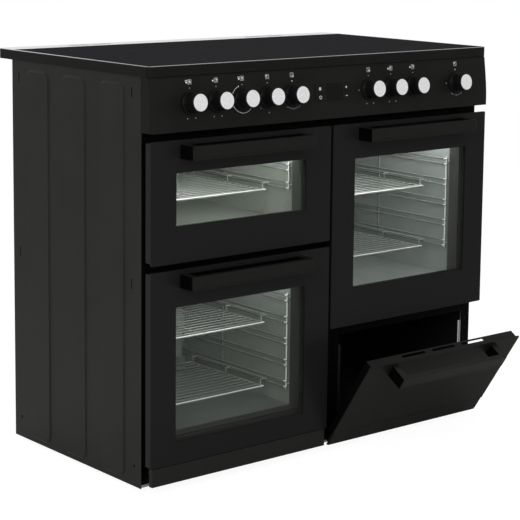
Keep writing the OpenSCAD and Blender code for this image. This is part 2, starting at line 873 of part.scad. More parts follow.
// Five sheets that close a space at its sides, floor, ceiling and rear. The ones at the
// sides run the full height, and the floor and ceiling lie between them.
module sheet_box(xs, ds, zs, t) {
    for (x = [xs[0] - t, xs[1]])
        block([x, x + t], [ds[0], ds[1] - seam], [zs[0] - t, zs[1] + t]);
    for (z = [zs[0] - t, zs[1]])
        block([xs[0] + seam, xs[1] - seam], [ds[0], ds[1] - seam], [z, z + t]);
    block([xs[0] - t, xs[1] + t], [ds[1], ds[1] + t], [zs[0] - t, zs[1] + t]);
}

// An oven's lining of enamelled sheets, with flange strips behind the front frame
module oven_liner(x, oven, fan) {
    front = panel_front + frame_t + seam;
    half = cavity_w(x) / 2;
    difference() {
        sheet_box([x - half, x + half], [front, cavity_rear], [oven[0], oven[0] + oven[1]],
                  liner_t);
        // Hole for the fan's shaft
        if (fan)
            facing(cavity_rear - 1, liner_t + 2)
                translate([x, oven[0] + oven[1] / 2]) circle(5);
        // Hole for the lamp
        facing(cavity_rear - 1, liner_t + 2)
            translate([x - half + lamp_in, oven[0] + oven[1] - lamp_in])
                circle(lamp_r);
    }
    round_mouth(x, oven, liner_t + seam, fold_w, front, liner_t);
}

lamp_in = 29;
lamp_r = 14;

module liner_grill_oven() {
    color([0.45, 0.47, 0.44]) oven_liner(left_oven_x, small_oven, false);
}

module liner_main_oven() {
    color([0.45, 0.47, 0.44]) oven_liner(left_oven_x, main_oven, true);
}

module liner_tall_oven() {
    color([0.45, 0.47, 0.44]) oven_liner(right_oven_x, tall_oven, true);
}

// The storage compartment: a box of painted sheet with a ribbed floor
module liner_storage() {
    front = panel_front + frame_t + seam;
    color([0.3, 0.31, 0.3]) {
        sheet_box([storage_left, storage_right], [front, cavity_rear],
                  [storage_floor, storage_top], liner_t);
        for (i = [1 : 5])
            block([storage_left + 12, storage_right - 12],
                  [front + i * 74, front + i * 74 + 8],
                  [storage_floor + seam, storage_floor + 3]);
        // Bright edge strips on the side walls, where the flap's catch springs sit
        for (x = [storage_left + seam, storage_right - 10])
            block([x, x + 10 - seam], [front, front + liner_t],
                  [storage_floor + 6, storage_top - 24]);
    }
}

// Soft gasket round an oven's mouth
seal_w = 9;
module seal_ring(x, oven) {
    round_mouth(x, oven, 1, seal_w + 1, door_back_d + 0.4, panel_front - door_back_d - 0.4);
}

module door_seals() {
    color([0.15, 0.15, 0.15]) {
        seal_ring(left_oven_x, small_oven);
        seal_ring(left_oven_x, main_oven);
        seal_ring(right_oven_x, tall_oven);
    }
}

// Heights of the rails: [first rail, number of rails, spacing]
small_rails = [small_floor + 77.5, 2, 41];
main_rails = [main_floor + 49, floor((main_cavity_h - 75) / rail_pitch), rail_pitch];
tall_rails = [tall_floor + 77, floor((tall_cavity_h - 103) / rail_pitch), rail_pitch];

// A wire rack beside one wall of an oven: side is -1 or 1
module rack(x, rails, side) {
    up_x = x + side * (cavity_w(x) / 2 - rack_gap);
    rail_x = x + side * (cavity_w(x) / 2 - rail_in);
    wall_x = x + side * cavity_w(x) / 2;
    low = rails[0] - rail_gap / 2;
    high = rails[0] + (rails[1] - 1) * rails[2] + rail_gap / 2;
    for (d = [rack_front, (rack_front + rack_rear) / 2 + 46, rack_rear])
        wire([up_x, at_depth(d), low - 5], [up_x, at_depth(d), high + 5], upright_r);
    // The rails are welded to the inner sides of the uprights
    for (i = [0 : rails[1] - 1], s = [-1, 1]) {
        z = rails[0] + i * rails[2] + s * rail_gap / 2;
        wire([rail_x, at_depth(rack_front - 5), z], [rail_x, at_depth(rack_rear + 5), z],
             rack_wire_r);
    }
    // Studs that hold the rack to the wall
    for (d = [rack_front, rack_rear], z = [low + 6, high - 6])
        wire([up_x, at_depth(d), z], [wall_x, at_depth(d), z], rack_wire_r);
}

module shelf_racks() {
    color([0.8, 0.8, 0.8])
        for (side = [-1, 1]) {
            rack(left_oven_x, small_rails, side);
            rack(left_oven_x, main_rails, side);
            rack(right_oven_x, tall_rails, side);
        }
}

// A wire shelf whose runners lie on the lower wires of the rail at height z
module shelf(x, z) {
    r = shelf_wire_r;
    runner_z = z - rail_gap / 2 + rack_wire_r + r + gap;
    grid_z = runner_z - shelf_drop;
    run_x = cavity_w(x) / 2 - runner_in;
    side_x = run_x - 14;
    d0 = shelf_front;
    d1 = shelf_front + shelf_len;
    pitch = shelf_len / (shelf_wires - 1);
    color([0.8, 0.8, 0.8]) {
        // Front and rear wires are thicker and reach a little past the side wires
        for (i = [0 : shelf_wires - 1]) {
            outer = i == 0 || i == shelf_wires - 1;
            reach = outer ? side_x + 2 : side_x;
            wire([x - reach, at_depth(d0 + i * pitch), grid_z],
                 [x + reach, at_depth(d0 + i * pitch), grid_z], outer ? r : r - 1);
        }
        for (s = [-1, 1]) {
            wire([x + s * side_x, at_depth(d0), grid_z],
                 [x + s * side_x, at_depth(d1), grid_z], r - 0.25);
            wire([x + s * run_x, at_depth(d0 + 4), runner_z],
                 [x + s * run_x, at_depth(d1 - 4), runner_z], r);
            // Arms that stand on the grid's side wires and carry the runners
            for (d = [d0 + 8, (d0 + d1) / 2, d1 - 8]) {
                wire([x + s * side_x, at_depth(d), grid_z + r - 0.25 + seam],
                     [x + s * side_x, at_depth(d), runner_z], r - 0.7);
                wire([x + s * (side_x - 2), at_depth(d), runner_z],
                     [x + s * run_x, at_depth(d), runner_z], r - 0.5);
            }
        }
        wire([x, at_depth(d0), grid_z - r], [x, at_depth(d1), grid_z - r], r - 0.5);
    }
}

function rail_z(rails, level) = rails[0] + level * rails[2];

// The upper shelf lies on the last rail but one
function upper_level(rails) = max(rails[1] - 2, 1);

module shelf_grill_oven() { shelf(left_oven_x, rail_z(small_rails, 0)); }
module shelf_main_upper() { shelf(left_oven_x, rail_z(main_rails, upper_level(main_rails))); }
module shelf_main_lower() { shelf(left_oven_x, rail_z(main_rails, 0)); }
module shelf_tall_upper() { shelf(right_oven_x, rail_z(tall_rails, upper_level(tall_rails))); }
module shelf_tall_lower() { shelf(right_oven_x, rail_z(tall_rails, 0)); }

// Distance of the grill element's outer runs from the oven's walls
element_side = 86.5;

// Snaking tube under the grill oven's ceiling
module grill_element() {
    r = 3.2;
    runs = 6;
    step = (cavity_w(left_oven_x) - 2 * element_side) / (runs - 1);
    z = small_floor + small_cavity_h - 18;
    x0 = left_oven_x - step * (runs - 1) / 2;
    front = 90;
    rear = cavity_rear - 75;
    color([0.25, 0.23, 0.22]) {
        for (i = [0 : runs - 1])
            wire([x0 + i * step, at_depth(front), z],
                 [x0 + i * step, at_depth((i == 0 || i == runs - 1) ? cavity_rear : rear), z], r);
        for (i = [0 : runs - 2])
            translate([x0 + (i + 0.5) * step, at_depth(i % 2 == 0 ? front : rear), z])
                rotate([0, 0, i % 2 == 0 ? 180 : 0])
                    rotate_extrude(angle = 180) translate([step / 2, 0]) circle(r);
        // Hangers up to the ceiling
        for (i = [0, runs - 1], d = [front + 20, rear - 20])
            wire([x0 + i * step, at_depth(d), z], [x0 + i * step, at_depth(d), z + 18], 2);
    }
}

// Both ovens have the same pressed cover, with the ring element and the fan inside it
function fan_cover_w(x) = cavity_w(x) - 2 * fan_cover_side;
fan_cover_h = main_cavity_h - 2 * fan_cover_rise;
function ring_r(x) = min(fan_cover_w(x), fan_cover_h) / 2 - 23;
function fan_r(x) = ring_r(x) - 20;
fan_depth = 22;
fan_d = cavity_rear - 34;

module ring_element(x, oven) {
    z = oven[0] + oven[1] / 2;
    d = cavity_rear - 24;
    translate([x, at_depth(d), z])
        rotate([90, 0, 0]) rotate_extrude() translate([ring_r(x), 0]) circle(3.2);
    for (s = [-1, 1])
        wire([x + s * 12, at_depth(d), z - sqrt(pow(ring_r(x), 2) - 144)],
             [x + s * 12, at_depth(cavity_rear), z - sqrt(pow(ring_r(x), 2) - 144)], 2.4);
}

module ring_elements() {
    color([0.25, 0.23, 0.22]) {
        ring_element(left_oven_x, main_oven);
        ring_element(right_oven_x, tall_oven);
    }
}

// Pressed cover over the fan, with an inlet grille and outlet slots
module fan_cover(x, oven) {
    z = oven[0] + oven[1] / 2;
    w = fan_cover_w(x);
    h = fan_cover_h;
    deep = 48;
    rings = floor((fan_r(x) - 12) / 15);
    slots = floor((h - 40) / 76);
    d = cavity_rear - deep;
    difference() {
        facing(d, deep) translate([x, z]) rounded(w, h, 14);
        facing(d + sheet_t, deep) translate([x, z]) rounded(w - 2 * sheet_t, h - 2 * sheet_t, 13);
        for (ring = [0 : rings - 1])
            for (k = [0 : 5 + 6 * ring])
                facing(d - 1, sheet_t + 2)
                    translate([x, z])
                        rotate([0, 0, k * 360 / (6 + 6 * ring)])
                            translate([12 + ring * 15, 0]) circle(4.5);
        for (s = [-1, 1], k = [-slots : slots])
            facing(d - 1, sheet_t + 2)
                translate([x + s * (w / 2 - 26), z + k * 38]) rounded(10, 26, 4.9);
    }
}

module fan_covers() {
    color([0.45, 0.47, 0.44]) {
        fan_cover(left_oven_x, main_oven);
        fan_cover(right_oven_x, tall_oven);
    }
}

motor_r = 30;
shaft_r = 3;

// Motors behind the ovens; the shafts turn in their noses
module fan_motors() {
    color([0.55, 0.55, 0.56])
        for (oven = [[left_oven_x, main_oven], [right_oven_x, tall_oven]])
            translate([oven[0], at_depth(cavity_rear + liner_t), oven[1][0] + oven[1][1] / 2])
                rotate([-90, 0, 0])
                    difference() {
                        union() {
                            cylinder(h = 4, r = motor_r + 12);
                            cylinder(h = 42, r = motor_r);
                        }
                        translate([0, 0, -1]) cylinder(h = 26, r = shaft_r + run_gap);
                    }
}

// Fan wheel with its shaft
module fan(x, oven) {
    blades = 8;
    r = fan_r(x);
    // The blades start at this share of the wheel's radius
    root = 0.3 * r;
    color([0.7, 0.7, 0.72])
        translate([x, at_depth(fan_d), oven[0] + oven[1] / 2])
            rotate([-90, 0, 0]) {
                cylinder(h = 1.2, r = r);
                cylinder(h = 14, r = 9);
                cylinder(h = cavity_rear + liner_t - fan_d + 22, r = shaft_r);
                for (i = [0 : blades - 1])
                    rotate([0, 0, i * 360 / blades])
                        translate([root, -0.7, 0]) cube([r - 2 - root, 1.4, fan_depth]);
            }
}

module fan_main_oven() { fan(left_oven_x, main_oven); }
module fan_tall_oven() { fan(right_oven_x, tall_oven); }

module oven_lamps() {
    color([0.9, 0.9, 0.85])
        for (oven = [[left_oven_x, small_oven], [left_oven_x, main_oven],
                     [right_oven_x, tall_oven]])
            translate([oven[0] - cavity_w(oven[0]) / 2 + lamp_in,
                       at_depth(cavity_rear - 12), oven[1][0] + oven[1][1] - lamp_in])
                rotate([-90, 0, 0]) {
                    cylinder(h = 12, r = lamp_r + 4);
                    cylinder(h = 40, r = lamp_r - 0.3);
                }
}

// ------------------------------------------------------------------ doors

handle_r = 3;
glass_r = 3;
inner_low = 2;

// Width of a door's clear window, and [bottom, top] of each
function win_w(x) = cavity_w(inner_cx(x)) - 2 * window_side;
small_window = [small_door_z + small_window_low, door_top - small_window_high];
main_window = [main_line_z + main_window_low, main_door_top - main_window_high];
tall_window = [tall_door_z + tall_window_low, door_top - tall_window_high];

// Opening in a door's frame, which is a little larger than the window on all sides
module inner_opening(x, win, grow, r) {
    w = win_w(x) + 2 * (inner_grow + grow);
    low = win[0] - inner_low - grow;
    high = win[1] + inner_grow + grow;
    translate([inner_cx(x), (low + high) / 2]) rounded(w, high - low, r);
}

// The front glass; its window is clear and the rest is printed black
module front_glass(x, w, z0, z1) {
    color([0.08, 0.08, 0.09, 0.5])
        facing(door_face_d, door_glass_t)
            translate([x, (z0 + z1) / 2]) rounded(w, z1 - z0, glass_r);
}

// Notches that let a door swing round its hinge ears
module ear_notches(x, w, z_low, z_pivot, pd) {
    for (s = [-1, 1])
        block([x + s * (w / 2 - hinge_in) - ear_t / 2 - 1, x + s * (w / 2 - hinge_in) + ear_t / 2 + 1],
              [pd - pin_r - 5.5, door_back_d + 1], [z_low - 1, z_pivot + pin_r + 5.5]);
}

// Hinge pins across the notches
module hinge_pins(x, w, z, pd) {
    for (s = [-1, 1])
        translate([x + s * (w / 2 - hinge_in) - ear_t / 2 - 6, at_depth(pd), z])
            rotate([0, 90, 0]) cylinder(h = ear_t + 12, r = pin_r);
}

// A folded tray behind the glass, open at the front, with the inner window cut out
module door_tray(x, w, z0, z1, win) {
    iw = w - 2 * door_inset;
    ih = z1 - z0;
    difference() {
        union() {
            difference() {
                facing(frame_front_d, door_frame_d)
                    translate([x, (z0 + z1) / 2]) rounded(iw, ih, 2);
                facing(frame_front_d - 1, door_frame_d + 1 - door_sheet)
                    translate([x, (z0 + z1) / 2])
                        rounded(iw - 2 * door_sheet, ih - 2 * door_sheet, 1);
            }
            // Solid hinge blocks in the lower corners
            for (s = [-1, 1])
                block([x + s * (w / 2 - hinge_in) - 12, x + s * (w / 2 - hinge_in) + 12],
                      [frame_front_d, door_back_d - tiny], [z0, z0 + 34]);
        }
        facing(door_back_d - door_sheet - 1, door_sheet + 2) inner_opening(x, win, 0, 4);
    }
}

// Windows and handles are centred on the ovens, the doors on their own widths
function inner_cx(x) = x < 0 ? left_oven_x : right_oven_x;

module inner_glass(x, win) {
    color([0.5, 0.52, 0.5, 0.4])
        facing(door_back_d - door_sheet - door_glass_t, door_glass_t)
            inner_opening(x, win, 5, 6);
}

// A bar handle on two end blocks, with a fine line along its face
module door_handle(x, top) {
    z0 = top - handle_drop - handle_h;
    face = door_face_d - handle_out;
    color([0.12, 0.12, 0.12])
        difference() {
            translate([inner_cx(x), 0, z0])
                linear_extrude(handle_h)
                    difference() {
                        translate([-handle_w / 2, at_depth(face)]) {
                            translate([handle_r, 0])
                                square([handle_w - 2 * handle_r, handle_out]);
                            translate([0, handle_r])
                                square([handle_w, handle_out - handle_r]);
                            for (cx = [handle_r, handle_w - handle_r])
                                translate([cx, handle_r]) circle(handle_r);
                        }
                        translate([-handle_w / 2 + handle_end, at_depth(face + bar_t)])
                            square([handle_w - 2 * handle_end, handle_out]);
                    }
            block([inner_cx(x) - handle_w, inner_cx(x) + handle_w],
                  [face - 1, face + 0.6], [z0 + 4, z0 + 4.8]);
        }
}

module grill_door_frame() {
    color([0.2, 0.19, 0.17]) {
        difference() {
            door_tray(left_cx, left_door_w, small_door_z + door_inset, door_top - door_inset,
                      small_window);
            ear_notches(left_cx, left_door_w, small_door_z, small_pivot_z, pivot_d);
        }
        hinge_pins(left_cx, left_door_w, small_pivot_z, pivot_d);
    }
}

module grill_door_glass() { front_glass(left_cx, left_door_w, small_door_z, door_top); }
module grill_door_inner_glass() { inner_glass(left_cx, small_window); }
module grill_door_handle() { door_handle(left_cx, door_top); }

// The main oven's door carries the bottom strip below its glass
module main_door_frame() {
    strip_w = left_door_w - 2 * door_inset - 2;
    color([0.2, 0.19, 0.17]) {
        difference() {
            union() {
                door_tray(left_cx, left_door_w, main_line_z, main_door_top - door_inset,
                          main_window);
                // Strip: a flat front with folded ends, hollow at the back
                difference() {
                    block([left_cx - strip_w / 2, left_cx + strip_w / 2],
                          [door_face_d + 2, pivot_d - 4], [door_bottom, main_line_z - 1]);
                    block([left_cx - strip_w / 2 + 2, left_cx + strip_w / 2 - 2],
                          [door_face_d + 4, pivot_d], [door_bottom + 2, main_line_z - 3]);
                }
                // Tabs that join the strip to the tray
                for (s = [-1, 0, 1])
                    block([left_cx + s * (left_door_w / 2 - 70) - 16,
                           left_cx + s * (left_door_w / 2 - 70) + 16],
                          [door_face_d + 4, door_face_d + 8],
                          [main_line_z - 4, main_line_z + 3]);
            }
            ear_notches(left_cx, left_door_w, door_bottom - 1, main_pivot_z, pivot_d);
        }
        hinge_pins(left_cx, left_door_w, main_pivot_z, pivot_d);
    }
}

module main_door_glass() {
    front_glass(left_cx, left_door_w, main_line_z + 1, main_door_top);
}

module main_door_inner_glass() { inner_glass(left_cx, main_window); }
module main_door_handle() { door_handle(left_cx, main_door_top); }

module tall_door_frame() {
    color([0.2, 0.19, 0.17]) {
        difference() {
            door_tray(right_cx, right_door_w, tall_door_z + door_inset, door_top - door_inset,
                      tall_window);
            ear_notches(right_cx, right_door_w, tall_door_z, tall_pivot_z, pivot_d);
        }
        hinge_pins(right_cx, right_door_w, tall_pivot_z, pivot_d);
    }
}

module tall_door_glass() { front_glass(right_cx, right_door_w, tall_door_z, door_top); }
module tall_door_inner_glass() { inner_glass(right_cx, tall_window); }
module tall_door_handle() { door_handle(right_cx, door_top); }

// ------------------------------------------------------------------ flap

panel_t = 3;
flap_frame_d = 20;

// The outer face, with a fine joint line above the bottom strip
module flap_panel() {
    color([0.1, 0.1, 0.1])
        opened()
            difference() {
                facing(door_face_d, panel_t)
                    translate([right_cx, (door_bottom + flap_top) / 2])
                        rounded(right_door_w, flap_top - door_bottom, glass_r);
                block([right_door_x - 1, right_door_x + right_door_w + 1],
                      [door_face_d - 1, door_face_d + 0.8],
                      [main_line_z - 1, main_line_z]);
                for (s = [-1, 1])
                    block([right_cx + s * right_door_w / 2 - 4, right_cx + s * right_door_w / 2 + 4],
                          [door_face_d - 1, door_face_d + 1.5],
                          [door_bottom - 1, main_line_z - 1]);
            }
}

// The folded frame behind the face: open at the back, slots in its top fold
module flap_frame() {
    x0 = right_door_x + 8;
    x1 = right_door_x + right_door_w - 8;
    d0 = door_face_d + panel_t;
    d1 = d0 + flap_frame_d;
    z1 = flap_top - 2;
    t = door_sheet;
    slot = 74;
    color([0.14, 0.14, 0.14])
        opened() {
            difference() {
                union() {
                    difference() {
                        block([x0, x1], [d0, d1], [door_bottom + 2, z1]);
                        block([x0 + t, x1 - t], [d0 + t, d1 + 1], [door_bottom + 2 + t, z1 - t]);
                    }
                    // Folds that stiffen the open back
                    for (x = [x0, x1 - fold_w])
                        block([x, x + fold_w], [d1 - t, d1], [door_bottom + 2, z1 - 30]);
                    block([x0, x1], [d1 - t, d1], [door_bottom + 2, door_bottom + 30]);
                    // Hinge blocks
                    for (s = [-1, 1])
                        block([right_cx + s * (right_door_w / 2 - hinge_in) - 12,
                               right_cx + s * (right_door_w / 2 - hinge_in) + 12],
                              [d0, d1], [door_bottom + 2, door_bottom + 26]);
                }
                for (i = [-1, 0, 1])
                    translate([right_cx + i * 96, at_depth((d0 + d1) / 2 + 2), z1 - t - 1])
                        linear_extrude(t + 2) rounded(slot, 7, 3.4);
                flap_notches();
            }
            hinge_pins(right_cx, right_door_w, flap_pivot_z, flap_pivot_d);
        }
}

// Notches round the flap's hinge ears
module flap_notches() {
    for (s = [-1, 1])
        block([right_cx + s * (right_door_w / 2 - hinge_in) - ear_t / 2 - 1,
               right_cx + s * (right_door_w / 2 - hinge_in) + ear_t / 2 + 1],
              [door_face_d + panel_t - tiny, door_back_d + 20],
              [door_bottom, flap_pivot_z + pin_r + 9]);
}

module flap_handle() {
    opened() door_handle(right_cx, flap_top);
}

// ------------------------------------------------------------------ assembly

side_panel_left();
side_panel_right();
back_panel();
base_panel();
front_frame();
levelling_feet();
terminal_cover();
hob_rim();
hob_glass();
radiant_heaters();
fascia();
air_outlet();
timer_unit();
switch_bodies();
liner_grill_oven();
liner_main_oven();
liner_tall_oven();
liner_storage();
door_seals();
shelf_racks();
grill_element();
ring_elements();
fan_covers();
fan_motors();
oven_lamps();
fan_main_oven();
fan_tall_oven();
shelf_grill_oven();
shelf_main_upper();
shelf_main_lower();
shelf_tall_upper();
shelf_tall_lower();
grill_door_frame();
grill_door_glass();
grill_door_inner_glass();
grill_door_handle();
main_door_frame();
main_door_glass();
main_door_inner_glass();
main_door_handle();
tall_door_frame();
tall_door_glass();
tall_door_inner_glass();
tall_door_handle();
flap_panel();
flap_frame();
flap_handle();
knob_1();
knob_2();
knob_3();
knob_4();
knob_5();
knob_6();
knob_7();
knob_8();
knob_9();
key_mode();
key_clock();
key_plus();
key_minus();
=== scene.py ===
# %% [markdown]
# The range cooker comes in as a finished model: every sheet, door, knob and wire is already in
# its place, in metres, with the floor at zero and the doors facing -Y. This script dresses it.
# It loads the model, gives each part its finish, adds the printed marks that are too fine for the
# solid model, and sets up the floor, the light and the camera.

# %% Load the model
import math

import bmesh
import bpy
from mathutils import Matrix, Vector


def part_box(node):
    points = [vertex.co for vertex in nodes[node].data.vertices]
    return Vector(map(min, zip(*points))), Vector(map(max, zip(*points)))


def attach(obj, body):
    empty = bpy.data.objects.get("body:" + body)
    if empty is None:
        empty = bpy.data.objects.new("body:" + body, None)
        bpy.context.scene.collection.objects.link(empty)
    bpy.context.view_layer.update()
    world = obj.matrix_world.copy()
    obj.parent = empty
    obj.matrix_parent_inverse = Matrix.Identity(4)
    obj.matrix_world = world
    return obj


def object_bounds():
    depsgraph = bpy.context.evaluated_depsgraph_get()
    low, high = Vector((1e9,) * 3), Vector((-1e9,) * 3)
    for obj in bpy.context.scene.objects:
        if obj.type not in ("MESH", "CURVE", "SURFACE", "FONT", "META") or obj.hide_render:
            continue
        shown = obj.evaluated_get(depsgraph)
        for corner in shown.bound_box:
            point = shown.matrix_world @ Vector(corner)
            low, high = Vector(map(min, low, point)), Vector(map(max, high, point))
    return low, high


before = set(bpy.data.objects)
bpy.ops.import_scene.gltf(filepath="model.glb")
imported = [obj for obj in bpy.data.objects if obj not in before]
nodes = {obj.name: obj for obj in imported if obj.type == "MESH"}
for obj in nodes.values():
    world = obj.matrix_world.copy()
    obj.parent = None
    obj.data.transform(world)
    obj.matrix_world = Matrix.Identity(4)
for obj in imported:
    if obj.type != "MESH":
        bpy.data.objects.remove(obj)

cad_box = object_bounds()
# Everything in depth is measured back from the front edge of the hob's rim.
FRONT_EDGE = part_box("hob_rim")[0][1]
scene = bpy.context.scene

# %% [markdown]
# Colours on screen are written as sRGB numbers from 0 to 255, because that is how one reads them
# off a picture. Shaders want linear light, so one short function turns the first into the second.
# Another makes a colour paler or darker, which every finish needs for its variation.

# %% Colours as they are read off a screen
def srgb(red, green, blue):
    def linear(channel):
        part = channel / 255
        return part / 12.92 if part <= 0.04045 else ((part + 0.055) / 1.055) ** 2.4
    return (linear(red), linear(green), linear(blue), 1.0)


def toned(colour, factor):
    return tuple(min(1.0, c * factor) for c in colour[:3]) + (1.0,)


print("mid grey is", round(srgb(128, 128, 128)[0], 3), "in linear light")

# %% [markdown]
# Shader networks are hard to read as boxes and wires, and harder still as code that adds them one
# by one. A Value stands for one output socket. Adding, scaling or raising a Value adds a Math node
# behind the scenes, so a mask can be written the way it would be on paper. The reflected forms
# make 1 - mask work as well as mask - 1.

# %% A socket that can be calculated with
class Value:
    def __init__(self, finish, socket):
        self.finish = finish
        self.socket = socket

    def math(self, operation, first, second=0.0, clamp=False):
        return self.finish.node(
            "ShaderNodeMath", {"operation": operation, "use_clamp": clamp}, {0: first, 1: second}
        )

    def __add__(self, other):
        return self.math("ADD", self, other)

    def __sub__(self, other):
        return self.math("SUBTRACT", self, other)

    def __mul__(self, other):
        return self.math("MULTIPLY", self, other)

    def __truediv__(self, other):
        return self.math("DIVIDE", self, other)

    def __pow__(self, other):
        return self.math("POWER", self, other)

    def __rsub__(self, other):
        return self.math("SUBTRACT", other, self)

    __radd__ = __add__
    __rmul__ = __mul__

    def size(self):
        return self.math("ABSOLUTE", self)

    def at_least(self, other):
        return self.math("MAXIMUM", self, other)

    def wave(self):
        return self.math("SINE", self)

    def angle_to(self, other):
        return self.math("ARCTAN2", self, other)

    def clamped(self):
        return self.math("ADD", self, 0.0, clamp=True)


print("a socket can be added, scaled and raised")

# %% [markdown]
# A Network is one tree of shader nodes, and it has a single method that adds a node of any type,
# given the node's settings and what goes into its sockets. A Finish is the network of one
# material. What it adds are short names for things that the finishes below need often: the
# position on the model, the way a face looks, noise at a stated grain, a blend of two colours
# and a bump.

# %% One tree of nodes, and one material
class Network:
    def __init__(self, tree):
        self.tree = tree
        self.tree.nodes.clear()

    def node(self, kind, settings=None, sockets=None, out=0):
        made = self.tree.nodes.new(kind)
        for name, value in (settings or {}).items():
            setattr(made, name, value)
        for key, value in (sockets or {}).items():
            if isinstance(value, Value):
                self.tree.links.new(value.socket, made.inputs[key])
            else:
                made.inputs[key].default_value = value
        return made if out is None else Value(self, made.outputs[out])


class Finish(Network):
    def __init__(self, name):
        self.material = bpy.data.materials.new(name)
        self.material.use_nodes = True
        super().__init__(self.material.node_tree)
        self.place = self.node("ShaderNodeTexCoord", out="Object")
        self.x, self.y, self.z = self.split(self.place)

    def split(self, vector):
        parts = self.node("ShaderNodeSeparateXYZ", {}, {0: vector}, out=None)
        return [Value(self, parts.outputs[i]) for i in range(3)]

    def facing(self):
        """The way a face looks: to the right, to the rear and upwards, each from -1 to 1."""
        return self.split(self.node("ShaderNodeNewGeometry", out="Normal"))

    def on_the_ends(self):
        """1 where a face looks left or right, 0 elsewhere."""
        return step(self.facing()[0].size(), 0.8, 0.1)

    def noise(self, grain, detail, stretch=(1, 1, 1)):
        scaled = self.node("ShaderNodeMapping", {}, {"Vector": self.place, "Scale": stretch})
        return self.node(
            "ShaderNodeTexNoise", {}, {"Vector": scaled, "Scale": 1 / grain, "Detail": detail}
        )

    def blend(self, amount, first, second):
        return self.node(
            "ShaderNodeMix", {"data_type": "RGBA"}, {0: amount, 6: first, 7: second}, out=2
        )

    def bump(self, height, depth):
        return self.node(
            "ShaderNodeBump", {}, {"Height": height, "Distance": depth, "Strength": 1.0}
        )

    def surface(self, **sockets):
        named = {name.replace("_", " "): value for name, value in sockets.items()}
        return self.node("ShaderNodeBsdfPrincipled", {}, named)

    def done(self, shader):
        self.node("ShaderNodeOutputMaterial", {}, {"Surface": shader}, out=None)
        return self.material


def step(value, edge, soft):
    """0 below the edge, 1 above it, with a ramp that is soft wide."""
    return ((value - edge) / soft + 0.5).clamped()


def rounded_window(finish, centre, size, corner):
    """Distance out of a rounded rectangle seen from the front, in metres."""
    across = ((finish.x - centre[0]).size() - (size[0] / 2 - corner)).at_least(0.0)
    along = ((finish.z - centre[1]).size() - (size[1] / 2 - corner)).at_least(0.0)
    return (across * across + along * along) ** 0.5 - corner


print("a network class and a material class")

# %% [markdown]
# Most of the cooker is sheet steel with charcoal paint. Real stoved paint isn't flat: it has a
# faint orange peel, it is a little glossier where it ran thicker, and handling leaves a barely
# seen cloudiness. Two noises do that, a slow one for tone and gloss and a fine one for the peel,
# and each paint below only says its colour and how glossy it is.

# %% Stoved paint
CLOUD_GRAIN = 0.09
SKIN_GRAIN = 0.0012
PEEL = 0.00004


def paint(name, colour, roughness, gloss, grain=SKIN_GRAIN):
    finish = Finish(name)
    clouds = finish.noise(CLOUD_GRAIN, 4.0)
    skin = finish.noise(grain, 2.0)
    tone = finish.blend(step(clouds, 0.5, 0.5), toned(colour, 0.75), toned(colour, 1.25))
    shader = finish.surface(
        Base_Color=tone,
        Roughness=roughness + (clouds - 0.5) * 0.16 + (skin - 0.5) * 0.05,
        Specular_IOR_Level=gloss,
        Normal=finish.bump(skin, PEEL),
    )
    return finish.done(shader)


side_paint = paint("side_paint", srgb(25, 25, 23), 0.42, gloss=0.13, grain=0.0016)
front_paint = paint("front_paint", srgb(20, 20, 18), 0.5, gloss=0.06)
inner_black = paint("inner_black", srgb(5, 5, 5), 0.55, gloss=0.02)
print("three paints")

# %% [markdown]
# Some painted pieces aren't one even tone. The handles are painted darker on their ends, a painted
# shade, since these lie in their own shade. The flap's frame shows its top flange in the colour of
# its face and is near black elsewhere. The storage compartment is painted near black inside, a
# painted shade, and has a bright grooved strip at the right of its mouth. Each is the same paint
# with one mask more.

# %% Paint in two tones, or with a painted shade
def two_tone_or_shade(name, first, second, roughness, gloss, mask, metallic=0.0):
    finish = Finish(name)
    share = mask(finish)
    clouds = finish.noise(CLOUD_GRAIN, 4.0)
    skin = finish.noise(SKIN_GRAIN, 2.0)
    tone = finish.blend(share, first, second)
    shaded = finish.blend(step(clouds, 0.5, 0.5) * 0.3, tone, srgb(4, 4, 4))
    shader = finish.surface(
        Base_Color=shaded,
        Metallic=share * metallic,
        Roughness=roughness + (clouds - 0.5) * 0.16,
        Specular_IOR_Level=gloss,
        Normal=finish.bump(skin, PEEL),
    )
    return finish.done(shader)


FLAP_ANGLE = math.radians(33.4)
FLAP_PIVOT = (FRONT_EDGE + 0.005, 0.029)
FLAP_FLANGE = 0.2405
STORAGE_MOUTH = FRONT_EDGE + 0.0345
STRIP_GROOVE = 0.4650
RIGHT_WALL_FROM = 0.25


def flap_flange(finish):
    """1 on the part of the flap's frame that is furthest from its pivot."""
    forward = (finish.y - FLAP_PIVOT[0]) * -math.sin(FLAP_ANGLE)
    upward = (finish.z - FLAP_PIVOT[1]) * math.cos(FLAP_ANGLE)
    return step(forward + upward, FLAP_FLANGE, 0.0004)


def mouth_strip(finish):
    """1 on the bright strip at the right of the storage, 0 in the groove along it."""
    strip = 1 - step(finish.y, STORAGE_MOUTH, 0.0004)
    groove = step((finish.x - STRIP_GROOVE).size(), 0.0012, 0.0006)
    return strip * groove * step(finish.x, RIGHT_WALL_FROM, 0.01)


# The handles' darker ends are painted shade.
handle_paint_and_shade = two_tone_or_shade("handle_paint_and_shade", srgb(22, 22, 20), srgb(2, 2, 2), 0.42, 0.07,
                        Finish.on_the_ends)
flap_frame_paint = two_tone_or_shade("flap_frame_paint", srgb(5, 5, 5), srgb(21, 21, 20), 0.5, 0.06,
                            flap_flange)
# The storage lining's near black is painted shade of its inside; the second colour is the bright
# strip.
storage_shade_and_strip = two_tone_or_shade("storage_shade_and_strip", srgb(24, 26, 25), srgb(190, 192, 192), 0.4, 0.2,
                         mouth_strip, metallic=0.8)
print("three paints in two tones")

